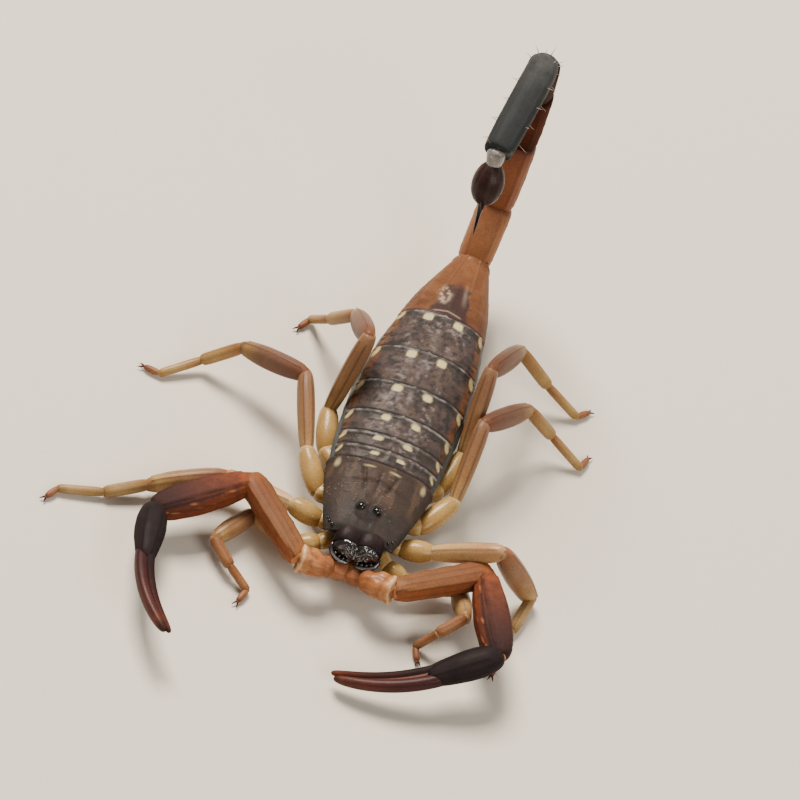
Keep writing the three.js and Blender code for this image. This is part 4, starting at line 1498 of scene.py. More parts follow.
@dataclass
class Tail:
    """Five ringed segments, the collar, the venom bulb and the sting."""

    root: tuple[float, float, float] = (1.25, 28.75, 4.35)
    segments: tuple[Segment, ...] = (
        Segment(5.1, 1.42, 1.28, 5, 58, TAIL_BASE_SHELL, "tail_base_cuticle"),
        Segment(6.1, 1.4, 1.28, 4, 77, TAIL_SECOND_SHELL, "tail_base_cuticle"),
        Segment(6.7, 1.38, 1.28, 4, 101, TAIL_MIDDLE_SHELL, "tail_middle_cuticle"),
        Segment(7.5, 1.28, 1.2, 3, 123, TAIL_DUSK_SHELL, "tail_middle_cuticle"),
        Segment(8.6, 1.22, 1.12, 8, 192, TAIL_END_SHELL, "tail_end_cuticle"),
    )
    dark_ends: tuple[float, ...] = (0.35, 0.5, 0.9, 0.6)
    telson: tuple[float, float] = (-8, 249)
    sting_length: float = 2.9

    def segment(self, index: int, part: Segment, at: Vector) -> None:
        """Builds one segment with its keels; the fifth is smoother, with a rounded start."""
        n = part.length
        last = index == len(self.segments) - 1
        if last:
            rows = (
                (-0.98, 0.3, 0.3, 0, -0.1), (-0.9, 0.5, 0.5, 0, -0.12), (-0.66, 0.74, 0.72, 0, -0.1),
                (-0.2, 0.93, 0.92, 0, -0.06), (0.4, 1.0, 0.99, 0, -0.02), (n * 0.3, 1.0, 1.0),
                (n * 0.6, 0.99, 1.0), (n * 0.85, 0.95, 0.94), (n - 0.25, 0.9, 0.88),
                (n, 0.86, 0.84), (n + 0.06, 0.6, 0.6),
            )
            keels = ((40, 0.03), (-40, 0.03), (140, 0.025), (-140, 0.025))
        else:
            rows = (
                (-0.36, 0.5, 0.5, 0, -0.04), (-0.26, 0.74, 0.72, 0, -0.04),
                (0.06, 0.88, 0.84, 0, -0.05), (0.5, 0.94, 0.9, 0, -0.03), (n * 0.25, 0.99, 0.95),
                (n * 0.55, 1.0, 1.0), (n * 0.8, 1.0, 0.99), (n - 0.4, 1.0, 0.98),
                (n - 0.02, 0.94, 0.92), (n + 0.1, 0.74, 0.74),
            )
            keels = (
                (36, 0.09), (-36, 0.09), (78, 0.06), (-78, 0.06), (128, 0.06), (-128, 0.06),
                (162, 0.05), (-162, 0.05),
            )
        piece = Article(
            n,
            outline(*rows, wide=part.wide, high=part.high),
            crests(*keels),
            square=2.5, grain=0.018, around=20, salt=50 + index,
        ).shape(f"metasoma_segment_{index + 1}")
        points, facing = positions(piece), normals(piece)
        y = points[:, 1]
        keel_line = vectors(piece.data.attributes["zones"].data, "vector")[:, 0]
        if last:
            # Painted highlight arcs on the up-facing parts of the rounded start, and a jagged pale rim
            # at the far end.
            rim = clouds(points, 0.35, 60 + index)
            round_end = y + 0.35 * (points[:, 0] / part.wide) ** 2
            highlight_arcs = bump(round_end, -0.45, 0.14) + 0.7 * bump(round_end, 0.15, 0.1)
            highlight_arcs *= step(0.1, 0.5, facing[:, 2])
            collar = step(n - 0.42, n - 0.2, y + 0.35 * (rim - 0.5))
            pale = 0.2 * collar * (rim > 0.6)
            tag(piece, "zones", np.clip(0.1 * keel_line + 0.5 * highlight_arcs, 0, 1), pale, 0 * y)
        else:
            ends = step(0.35, -0.1, y) + 0.6 * step(n - 0.5, n, y)
            dark = np.clip(self.dark_ends[index] * ends, 0, 1)
            tag(piece, "zones", 0.5 * keel_line, 0 * y, dark)
        finish(
            piece,
            part.finish,
            part.slot,
            [f"metasoma_{index + 1}"],
            frame_at(at, part.heading, part.pitch),
        )

    def collar(self, here: Matrix) -> None:
        """Builds the pale collar at the root of the bulb, in the bulb's frame."""
        collar = Article(
            1.5,
            outline(
                (-0.35, 0.5, 0.48), (-0.1, 0.72, 0.66), (0.25, 0.74, 0.68), (0.75, 0.6, 0.58),
                (1.15, 0.56, 0.54), (1.5, 0.4, 0.4),
            ),
            square=2.2,
        ).shape("telson_collar")
        points = positions(collar)
        raise_by(collar, 0.07 * (clouds(points, 0.32, 70) - 0.5))
        tag(collar, "zones", 0.6 * (clouds(points, 0.25, 71) > 0.6), 0.0, 0.0)
        finish(collar, COLLAR_SKIN, "telson_cuticle", at=here)

    def bulb(self, here: Matrix) -> None:
        """Builds the venom bulb with the small spur below its sting, in the bulb's frame."""
        bulb = Article(
            4.3,
            outline(
                (0.95, 0.42, 0.4), (1.02, 0.66, 0.6), (1.4, 0.95, 0.85, 0, -0.06),
                (2.1, 1.2, 1.05, 0, -0.16), (2.8, 1.22, 1.08, 0, -0.18), (3.4, 1.1, 0.98, 0, -0.14),
                (3.9, 0.84, 0.76, 0, -0.06), (4.25, 0.48, 0.46, 0, 0.04), (4.4, 0.24, 0.24, 0, 0.1),
            ),
            crests(
                (40, 0.03), (-40, 0.03), (90, 0.03), (-90, 0.03), (145, 0.03), (-145, 0.03),
                (180, 0.03),
            ),
            square=2.15, grain=0.03, grain_mm=0.3, around=20, salt=72,
        ).shape("telson_bulb")
        spur = refine(
            loft(
                "spur",
                outline(
                    (3.4, 0.3, 0.3, 0, -0.6), (3.95, 0.24, 0.24, 0, -0.78),
                    (4.45, 0.07, 0.07, 0, -0.95),
                ),
                10,
            ),
            1,
        )
        tag(spur, "along", 0.7, 0.0, 0.0)
        tag(spur, "zones", 0.0, 0.0, 0.0)
        finish(merged("telson_bulb", [bulb, spur]), BULB_SHELL, "telson_cuticle", ["telson"], here)

    def sting(self, here: Matrix) -> None:
        """Builds the curved sting, in the bulb's frame."""
        dart = refine(
            loft(
                "telson_sting",
                outline(
                    (0.0, 0.26, 0.28), (0.3, 0.3, 0.3), (0.9, 0.2, 0.22), (1.6, 0.14, 0.15),
                    (2.3, 0.1, 0.1), (2.75, 0.05, 0.05), (2.9, 0.015, 0.015),
                ),
                12,
            ),
            2,
        )
        t = np.clip(positions(dart)[:, 1] / self.sting_length, 0, 1)

        def hook(y: np.ndarray) -> tuple[np.ndarray, ...]:
            """The sting's curve, towards the belly side of the bulb."""
            share = y / self.sting_length
            along = 4.0 + y * (1 - 0.05 * share**2)
            height = 0.14 - 0.24 * np.clip(share, 0, 1.2) ** 2.2 * 2.4
            return 0 * y, along, height, 0 * y, -0.42 * np.clip(share, 0, 1.1) ** 1.4

        place(dart, turned(positions(dart), hook))
        tag(dart, "along", t, 0 * t, 0 * t + 0.5)
        finish(dart, STING_HORN, "telson_cuticle", at=here)

    def hairs(self, at: Vector, part: Segment) -> None:
        """Builds the pale bristles round the start of the fifth segment and along its sides."""
        here = frame_at(at, part.heading, part.pitch)
        ring = [
            (-170 + 340 * k / 15, -0.25 + 0.35 * math.sin(k * 2.4), -0.55, (0.9, 0.85), -0.1)
            for k in range(16)
        ]
        flanks = [
            ((70, -70, 120, -120)[k % 4], 0.9 + 7.0 * k / 14, 0.25, (1.05, 1.0), 0.0)
            for k in range(14)
        ]
        roots, ways = [], []
        for turn, y, lean, (wide, high), drop in ring + flanks:
            side, top = math.sin(math.radians(turn)), math.cos(math.radians(turn))
            roots.append(here @ Vector((side * wide, y, top * high + drop)))
            ways.append((here.to_3x3() @ Vector((side, lean, top))).normalized())
        finish(bristles("tail_bristles", roots, ways, 0.74, 0.038), BRISTLE, "tail_end_cuticle")

    def build(self) -> None:
        """Builds the segments from the trunk to the sting, with soft joints between them."""
        at = Vector(self.root)
        joints = []
        for index, part in enumerate(self.segments):
            self.segment(index, part, at)
            here = frame_at(at, part.heading, part.pitch)
            radii = (part.wide * 0.88, 0.7, part.high * 0.88)
            joints.append(joint_ball(f"joint_{index}", radii, here))
            if part is self.segments[-1]:
                self.hairs(at, part)
            at = at + part.length * direction(part.heading, part.pitch)
        finish(merged("tail_joint_skin", joints), TAIL_MIDDLE_SHELL, "tail_middle_cuticle")
        here = frame_at(at, *self.telson)
        self.collar(here)
        self.bulb(here)
        self.sting(here)


# ---------------------------------------------------------------- arms


# Spacing of the small teeth along a finger, in millimetres.
TOOTH_SPACING = 0.3


@dataclass(frozen=True)
class ArmPose:
    """Headings and pitches of one arm's articles, in degrees."""

    side: Side
    trochanter: tuple[float, float]
    femur: tuple[float, float]
    patella: tuple[float, float]
    hand: tuple[float, float]


@dataclass
class Arm:
    """One arm with its slender pincer."""

    pose: ArmPose
    root: tuple[float, float, float] = (1.4, -4.5, 2.9)
    trochanter: float = 2.4
    femur: float = 7.2
    patella: float = 7.7
    palm: float = 4.7
    finger: float = 7.8
    spread: float = 0.36

    @property
    def label(self) -> str:
        """The arm's side, as the CAD nodes spell it."""
        return self.pose.side.label

    def articles(self) -> dict[str, Matrix]:
        """The frame of each article, from the root outwards."""
        at = Vector((self.pose.side.value * self.root[0], self.root[1], self.root[2]))
        frames = {}
        for part in ("trochanter", "femur", "patella", "hand"):
            heading, pitch = getattr(self.pose, part)
            frames[part] = frame_at(at, heading, pitch)
            at = at + getattr(self, part, 0.0) * direction(heading, pitch)
        return frames

    def dress(self, piece: Piece, shell: Cuticle, slot: str, node: str, at: Matrix) -> None:
        """Finishes a bench piece, mirrored for the right arm.

        Args:
            piece: One of the arm's hard parts.
            shell: Its finish.
            slot: Its material slot.
            node: The CAD node that it stands for, without the side.
            at: Its article's frame.
        """
        if self.pose.side is Side.RIGHT:
            mirrored(piece)
        finish(piece, shell, slot, [f"{node}_{self.label}"], at)

    def front_face(self, piece: Piece) -> None:
        """Marks an article's front face as under-coloured, with painted glints on the grains along its
        edge.

        Args:
            piece: An upper arm or forearm on the bench, with its front face towards +x.
        """
        points, facing = positions(piece), normals(piece)
        front = step(0.45, 0.8, facing[:, 0])
        t = points[:, 1] / points[:, 1].max()
        tag(piece, "along", np.clip(t, 0, 1), facing[:, 0], facing[:, 2] - 1.3 * front)
        grains = pebbles(points, 0.3, 0.5, 33) > 0.45
        edge = bump(facing[:, 0], 0.72, 0.22) * step(0.0, 0.3, facing[:, 2])
        line = bump(facing[:, 0], 0.5, 0.14) * step(0.0, 0.3, facing[:, 2])
        back = step(-0.75, -0.95, facing[:, 0])
        lines = vectors(piece.data.attributes["zones"].data, "vector")[:, 0]
        ridge = np.maximum(0.75 * line + 0.35 * back, 0.55 * lines)
        # Painted glints on the grains along the upper front edge, in the pale colour.
        tag(piece, "zones", ridge, 0.65 * edge * grains, 0 * t)

    def bent(self, y: np.ndarray, root: float, rise: float) -> tuple[np.ndarray, ...]:
        """The curve of a finger, which leans inwards towards its tip.

        Args:
            y: Places along the straight finger.
            root: How far beside the middle the finger starts.
            rise: How far above the middle it starts.

        Returns:
            The curve's x, y and z, its turn about z and its turn about x.
        """
        share = np.clip((y - self.palm) / self.finger, -0.2, 1.1)
        grid = np.linspace(-0.2, 1.1, 120)
        lean = np.radians(2 + 36 * np.clip(grid, 0, None))
        x_run, y_run = (
            np.concatenate([[0], np.cumsum(part(lean[:-1]) * np.diff(grid))]) * self.finger
            for part in (np.sin, np.cos)
        )
        x_zero, y_zero = np.interp(0, grid, x_run), np.interp(0, grid, y_run)
        beside = root * (1 - 0.4 * np.clip(share, 0, 1) ** 1.5)
        x = beside + np.interp(share, grid, x_run) - x_zero
        along = self.palm + np.interp(share, grid, y_run) - y_zero
        yaw = -np.interp(share, grid, lean)
        z = rise * (1 - np.clip(share, 0, 1))
        return x, along, z, yaw, 0 * y

    def finger_piece(
        self, name: str, root: float, rise: float, wide: float, high: float, back: float
    ) -> Piece:
        """A slender curved finger with its row of small teeth on the biting side.

        Args:
            name: Name of the piece.
            root: How far beside the middle the finger starts.
            rise: How far above the middle it starts.
            wide: Its half width at the root.
            high: Its half height at the root.
            back: How far it reaches into the palm.

        Returns:
            The finger, in the hand's frame.
        """
        start = self.palm - back
        n = self.finger
        share = (0.0, 0.06, 0.16, 0.3, 0.45, 0.6, 0.75, 0.87, 0.95, 1.0)
        sizes = (0.96, 1.0, 0.99, 0.98, 0.96, 0.92, 0.86, 0.77, 0.62, 0.3)
        rings = [Ring(start + (n + back) * s, wide * k, high * k) for s, k in zip(share, sizes)]
        finger = refine(loft(name, rings, 14, 2.2), 2)
        points = positions(finger)
        t = (points[:, 1] - self.palm) / n
        bite = -np.sign(root) * points[:, 0] / wide
        level = points[:, 2] / high
        row = waves(points[:, 1], TOOTH_SPACING) * bump(level, 0.15, 0.4)
        row *= step(0.3, 0.7, bite) * step(0.02, 0.1, t) * step(1.0, 0.94, t)
        ridge = bump(level, 0.75, 0.35) * step(0.0, 0.15, t) * step(0.95, 0.8, t)
        raise_by(finger, 0.05 * row + 0.03 * ridge)
        points = positions(finger)
        place(finger, turned(points, lambda y: self.bent(y, root, rise)))
        level = points[:, 2] / high
        tag(finger, "along", 0.36 + 0.64 * np.clip(t, 0, 1), 0 * t, level)
        seam = bump(level, 0.5, 0.3) * step(0.02, 0.12, t) * step(1.0, 0.95, t)
        tag(finger, "zones", 0.4 * ridge, 0.95 * step(0.55, 0.8, bite) * seam, 0 * t)
        return finger

    def root_article(self, at: Matrix) -> None:
        """Builds the short, lumpy and folded article at the arm's root in its frame, shade painted in
        hollows.
        """
        trochanter = Article(
            self.trochanter,
            outline(
                (-0.35, 0.5, 0.5), (0.05, 0.78, 0.74), (0.6, 0.92, 0.86), (1.2, 0.96, 0.9),
                (1.8, 1.03, 0.98), (2.2, 1.06, 1.02), (2.36, 1.0, 0.95), (2.4, 0.6, 0.6),
            ),
            crests((0, 0.1, 16), (75, 0.1, 16), (-75, 0.08, 14), (150, 0.06, 14)),
            square=2.6, grain=0.03, grain_mm=0.25, salt=80,
        ).shape(f"arm_trochanter_shell_{self.label}")
        points = positions(trochanter)
        x, y = points[:, 0], points[:, 1]
        fold = np.cos(y * 2 * math.pi / 1.15 + 1.4 * x) * step(2.1, 1.7, y)
        lumps = clouds(points, 0.62, 82)
        raise_by(trochanter, 0.02 * fold + 0.36 * (lumps - 0.5))
        # Painted shade: the fold hollows and the sunken lumps are painted darker.
        ridge = np.clip(-fold, 0, 1) ** 3 * 0.35 + 0.5 * step(0.5, 0.3, lumps)
        tag(trochanter, "zones", ridge, 0.45 * bump(y, 2.26, 0.12), 0 * fold)
        self.dress(trochanter, ARM_ROOT_SHELL, "arm_root_cuticle", "arm_trochanter", at)

    def upper_arm(self, at: Matrix) -> None:
        """Builds the boxy upper arm with its keels, in its frame."""
        n = self.femur
        femur = Article(
            n,
            outline(
                (-0.2, 0.5, 0.48), (0.0, 0.74, 0.7), (0.6, 0.86, 0.8), (n * 0.35, 0.95, 0.84),
                (n * 0.7, 0.99, 0.87), (n - 0.7, 0.99, 0.9), (n - 0.1, 0.95, 0.88),
                (n + 0.35, 0.78, 0.74), (n + 0.55, 0.5, 0.5),
            ),
            crests(
                (48, 0.1, 8), (-48, 0.1, 8), (14, 0.05, 6), (-14, 0.04, 5), (132, 0.08, 9),
                (-132, 0.08, 9), (92, 0.04, 8),
            ),
            square=3.2, grain=0.03, grain_mm=0.24, salt=83,
        ).shape(f"arm_femur_shell_{self.label}")
        self.front_face(femur)
        self.dress(femur, ARM_FEMUR_SHELL, "arm_femur_cuticle", "arm_femur", at)

    def forearm(self, at: Matrix) -> None:
        """Builds the swollen forearm with its keels, in its frame."""
        n = self.patella
        patella = Article(
            n,
            outline(
                (-0.5, 0.45, 0.5, 0.1), (-0.3, 0.66, 0.68, 0.08), (0.2, 0.82, 0.84, 0.04),
                (1.1, 1.02, 0.96), (n * 0.34, 1.3, 1.06), (n * 0.55, 1.4, 1.07),
                (n * 0.75, 1.33, 1.03), (n - 0.7, 1.14, 0.94), (n - 0.1, 0.92, 0.78),
                (n + 0.15, 0.62, 0.56),
            ),
            crests(
                (20, 0.09, 7), (-42, 0.09, 8), (68, 0.1, 8), (115, 0.07, 8), (-95, 0.06, 8),
                (160, 0.06, 8), (-150, 0.06, 8),
            ),
            square=2.5, grain=0.02, grain_mm=0.26, around=18, salt=87,
        ).shape(f"arm_patella_shell_{self.label}")
        self.front_face(patella)
        self.dress(patella, ARM_PATELLA_SHELL, "arm_patella_cuticle", "arm_patella", at)

    def pincer(self, at: Matrix) -> None:
        """Builds the palm with its fixed finger, and the movable finger, in the hand's frame."""
        palm = Article(
            self.palm + self.finger,
            outline(
                (-0.35, 0.42, 0.42), (-0.12, 0.74, 0.7), (0.3, 0.98, 0.92), (1.2, 1.16, 1.06),
                (2.3, 1.2, 1.07), (3.2, 1.1, 0.98), (4.1, 0.58 + self.spread, 0.84, 0.02),
                (5.0, 0.42 + self.spread, 0.66, 0.03), (5.5, 0.3 + 0.5 * self.spread, 0.4, 0.1),
            ),
            crests((30, 0.03, 10), (-25, 0.03, 10), (80, 0.03, 10), (-80, 0.03, 10)),
            square=2.2, grain=0.012, grain_mm=0.3, around=18, salt=91,
        ).shape("palm")
        fixed = self.finger_piece("fixed", self.spread, 0.04, 0.4, 0.5, 1.0)
        hand = merged(f"arm_hand_shell_{self.label}", [palm, fixed])
        self.dress(hand, HAND_SHELL, "hand_cuticle", "arm_hand", at)
        moving = self.finger_piece(
            f"arm_finger_shell_{self.label}", -0.9 * self.spread, -0.04, 0.48, 0.56, 0.5
        )
        self.dress(moving, FINGER_SHELL, "finger_cuticle", "arm_moving_finger", at)

    def build(self) -> None:
        """Builds the arm's five hard parts and the skin of its joints."""
        frames = self.articles()
        self.root_article(frames["trochanter"])
        self.upper_arm(frames["femur"])
        self.forearm(frames["patella"])
        self.pincer(frames["hand"])
        joints = [
            joint_ball(f"joint_{part}", radii, frames[part])
            for part, radii in (
                ("femur", (0.66, 0.4, 0.62)),
                ("patella", (0.76, 0.66, 0.74)),
                ("hand", (0.56, 0.5, 0.54)),
            )
        ]
        skin = merged(f"arm_joint_skin_{self.label}", joints)
        finish(skin, ARM_ROOT_SHELL, "arm_root_cuticle")


ARMS = (
    Arm(ArmPose(Side.RIGHT, (-100, 12), (-45, 3), (-127, -9), (172, 5)), spread=0.34),
    Arm(ArmPose(Side.LEFT, (98, 12), (56, 3), (159, 2), (-125, -14)), spread=0.46),
)


# ---------------------------------------------------------------- legs


@dataclass(frozen=True)
class LegPose:
    """Headings and pitches of one leg's articles; headings count outwards from +Y."""

    femur: tuple[float, float]
    patella: tuple[float, float]
    tibia: tuple[float, float]
    foot: tuple[float, float]


@dataclass(frozen=True)
class LegPlan:
    """Sizes of one pair of legs, in millimetres, and both poses."""

    number: int
    hip: tuple[float, float, float]
    coxa: tuple[float, float, float]
    lengths: tuple[float, float, float, float, float]
    bulk: float
    right: LegPose
    left: LegPose


LEG_PLANS = (
    LegPlan(
        1, (2.7, -2.0, 2.35), (1.45, 113, -10), (4.5, 4.3, 2.45, 2.2, 1.25), 1.02,
        LegPose((63, -12), (151, 5), (-133, -8), (-120, 163)),
        LegPose((68, -10), (162, 23), (-137, -18), (-105, 158)),
    ),
    LegPlan(
        2, (3.25, -0.1, 2.6), (2.15, 82, 7), (5.6, 5.8, 3.35, 3.45, 1.2), 1.1,
        LegPose((79, -8), (115, -9), (120, -10), (107, 150)),
        LegPose((89, 28), (76, -54), (-169, -5), (-172, 178)),
    ),
    LegPlan(
        3, (4.1, 2.3, 2.85), (3.3, 32, 12), (6.45, 5.7, 3.7, 3.5, 1.35), 1.1,
        LegPose((19, 13), (70, -14), (97, -43), (129, 80)),
        LegPose((2, 28), (33, -16), (70, -48), (100, 16)),
    ),
    LegPlan(
        4, (4.55, 6.35, 2.95), (3.5, 13, 10), (6.8, 6.1, 4.35, 3.6, 1.3), 1.12,
        LegPose((-22, 66), (17, -32), (44, -52), (39, 150)),
        LegPose((-1, 40), (18, -22), (78, -48), (95, 40)),
    ),
)
# One of each leg article, one millimetre long and one millimetre in half width.
LEG_ARTICLES = {
    "trochanter": Article(
        1.0,
        outline(
            (-0.12, 0.5, 0.5), (-0.02, 0.72, 0.72), (0.22, 0.96, 0.95), (0.55, 1.0, 1.0),
            (0.85, 0.84, 0.9), (1.0, 0.6, 0.7), (1.06, 0.4, 0.5),
        ),
        square=2.2, around=14,
    ),
    "femur": Article(
        1.0,
        outline(
            (-0.06, 0.42, 0.42), (-0.01, 0.62, 0.58), (0.1, 0.82, 0.82), (0.4, 0.96, 0.98),
            (0.75, 1.0, 1.0), (0.94, 0.9, 0.88), (1.03, 0.72, 0.68), (1.06, 0.45, 0.42),
        ),
        crests((28, 0.06, 10), (-28, 0.06, 10), (160, 0.06, 9), grains=0.2),
        square=2.3, around=14,
    ),
    "patella": Article(
        1.0,
        outline(
            (-0.07, 0.42, 0.34, 0, 0.12), (-0.01, 0.66, 0.56, 0, 0.12), (0.12, 0.86, 0.84, 0, 0.06),
            (0.4, 1.0, 1.0), (0.7, 0.98, 0.96), (0.9, 0.78, 0.76, 0, -0.04),
            (1.02, 0.6, 0.56, 0, -0.06), (1.05, 0.4, 0.38, 0, -0.06),
        ),
        crests((15, 0.07, 8), (-50, 0.05, 8), (165, 0.06, 8), grains=0.2),
        square=2.3, around=14,
    ),
    "tibia": Article(
        1.0,
        outline(
            (-0.06, 0.5, 0.5), (0.0, 0.78, 0.8), (0.15, 0.95, 0.98), (0.5, 0.96, 0.96),
            (0.9, 0.98, 0.96), (1.0, 0.84, 0.84), (1.03, 0.5, 0.5),
        ),
        crests((0, 0.05, 12), grains=0.0),
        square=2.2, around=12,
    ),
    "metatarsus": Article(
        1.0,
        outline(
            (-0.05, 0.5, 0.5), (0.0, 0.85, 0.85), (0.2, 1.0, 1.0), (0.6, 0.94, 0.94),
            (0.92, 0.96, 0.98), (1.0, 0.8, 0.8), (1.03, 0.45, 0.45),
        ),
        square=2.2, around=12,
    ),
    "tarsus": Article(
        1.0,
        outline(
            (-0.08, 0.45, 0.5), (0.0, 0.75, 0.8), (0.25, 1.0, 1.0), (0.6, 1.0, 1.0),
            (0.88, 0.85, 0.88), (1.0, 0.6, 0.6),
        ),
        square=2.2, around=12,
    ),
}
CLAW_LENGTH = 0.62
CLAW = outline((0.0, 0.09, 0.11), (0.18, 0.085, 0.1), (0.4, 0.06, 0.065), (CLAW_LENGTH, 0.02, 0.02))


@dataclass
class Legs:
    """The eight legs. Each article is modelled once and copied to its size and place."""

    ankle: float = 0.42
    toe: float = 0.3
    patterns: dict[str, Piece] = field(default_factory=dict)

    def model_patterns(self) -> None:
        """Models one of each article and a claw, for the legs to copy."""
        for name, article in LEG_ARTICLES.items():
            self.patterns[name] = article.shape(f"pattern_{name}")
        claw = refine(loft("pattern_claw", CLAW, 8), 1)
        points = positions(claw)
        t = np.clip(points[:, 1] / CLAW_LENGTH, 0, 1)
        points[:, 2] -= 0.2 * t**2
        points[:, 1] -= 0.06 * t**2
        place(claw, points)
        tag(claw, "along", t, 0 * t, 0 * t)
        self.patterns["claw"] = claw

    def joints(self, plan: LegPlan, side: Side) -> list[tuple[Vector, float, float, float]]:
        """The chain of joints of one leg.

        Args:
            plan: The pair's sizes.
            side: Which leg of the pair.

        Returns:
            For each article: its start, heading, pitch and length.
        """
        pose = plan.left if side is Side.LEFT else plan.right
        at = Vector((side.value * plan.hip[0], plan.hip[1], plan.hip[2]))
        chain = []

        def go(length: float, heading: float, pitch: float) -> None:
            """Adds one article and moves to its far joint."""
            nonlocal at
            chain.append((at.copy(), side.value * heading, pitch, length))
            at = at + length * direction(side.value * heading, pitch)

        go(*plan.coxa)
        for length, turns in zip(plan.lengths[:3], (pose.femur, pose.patella, pose.tibia)):
            go(length, *turns)
        for length, heading, height in zip(plan.lengths[3:], pose.foot, (self.ankle, self.toe)):
            drop = max(-1.0, min(1.0, (height - at.z) / length))
            go(length, heading, math.degrees(math.asin(drop)))
        return chain

    def leg(self, plan: LegPlan, side: Side) -> None:
        """Copies the articles of one leg to their places."""
        size = plan.bulk
        label = f"leg_{plan.number}"
        chain = self.joints(plan, side)
        rear = plan.number > 2
        # The rear pairs take the darker copies of the femur and knee finishes: painted shade.
        femur_shell = LEG_FEMUR_SHADED if rear else LEG_FEMUR_SHELL
        patella_shell = LEG_PATELLA_SHADED if rear else LEG_PATELLA_SHELL
        shin_shell = {1: LEG_SHIN_RUSSET, 2: LEG_SHIN_OLIVE}.get(plan.number, LEG_SHIN_SHELL)
        parts = (
            ("trochanter", 0.8 * size, 0.8 * size, LEG_ROOT_SHELL, "leg_femur_cuticle"),
            ("femur", 0.64 * size, 0.8 * size, femur_shell, "leg_femur_cuticle"),
            ("patella", 0.68 * size, 0.88 * size, patella_shell, "leg_patella_cuticle"),
            ("tibia", 0.46 * size, 0.5 * size, shin_shell, "leg_foot_cuticle"),
            ("metatarsus", 0.33 * size, 0.35 * size, shin_shell, "leg_foot_cuticle"),
            ("tarsus", 0.27, 0.27, LEG_FOOT_SHELL, "leg_foot_cuticle"),
        )
        stands_for = {"femur": "femur", "patella": "patella", "tibia": "foot"}
        skins = []
        for index, (name, wide, high, shell, slot) in enumerate(parts):
            at, heading, pitch, length = chain[index]
            here = frame_at(at, heading, pitch)
            piece = twin(self.patterns[name], f"{label}_{name}_{side.label}", side is Side.RIGHT)
            reach = length + (0.25 if name == "trochanter" else 0.0)
            piece.data.transform(Matrix.Diagonal((wide, reach, high, 1)))
            nodes = [f"{label}_{stands_for[name]}_{side.label}"] if name in stands_for else []
            finish(piece, shell, slot, nodes, here)
            if index:
                radius = min(wide, parts[index - 1][1]) * 0.8
                skins.append(joint_ball("s", (radius, radius * 0.8, radius), here))
        finish(merged(f"{label}_joint_skin_{side.label}", skins), JOINT_SKIN, "leg_femur_cuticle")
        at, heading, pitch, length = chain[5]
        tip = at + length * direction(heading, pitch)
        claws = []
        for spread in (-24, 24):
            claw = twin(self.patterns["claw"], "claw")
            root = tip - 0.06 * direction(heading, pitch)
            claw.data.transform(frame_at(root, heading + spread, pitch + 12))
            claws.append(claw)
        finish(merged(f"{label}_claws_{side.label}", claws), CLAW_HORN, "leg_foot_cuticle")

    def hairs(self) -> None:
        """Builds short bristles along the shins and insteps."""
        roots, ways = [], []
        for plan, side in itertools.product(LEG_PLANS, Side):
            for index, radius in ((3, 0.42), (4, 0.31), (5, 0.26)):
                at, heading, pitch, length = self.joints(plan, side)[index]
                here = frame_at(at, heading, pitch)
                for k in range(5):
                    turn = math.radians((150, -150, 100, -100, 175)[k])
                    y = length * (0.2 + 0.17 * k)
                    out = Vector((math.sin(turn), 0.5, math.cos(turn)))
                    root = here @ Vector((out.x * radius * 0.9, y, out.z * radius * 0.9))
                    if root.z > 0.2:
                        roots.append(root)
                        ways.append((here.to_3x3() @ out).normalized())
        finish(bristles("leg_bristles", roots, ways, 0.36, 0.018), BRISTLE, "leg_foot_cuticle")

    def build(self) -> None:
        """Builds the eight legs."""
        self.model_patterns()
        for plan, side in itertools.product(LEG_PLANS, Side):
            self.leg(plan, side)
        self.hairs()
        discard(self.patterns.values())


# ---------------------------------------------------------------- underside


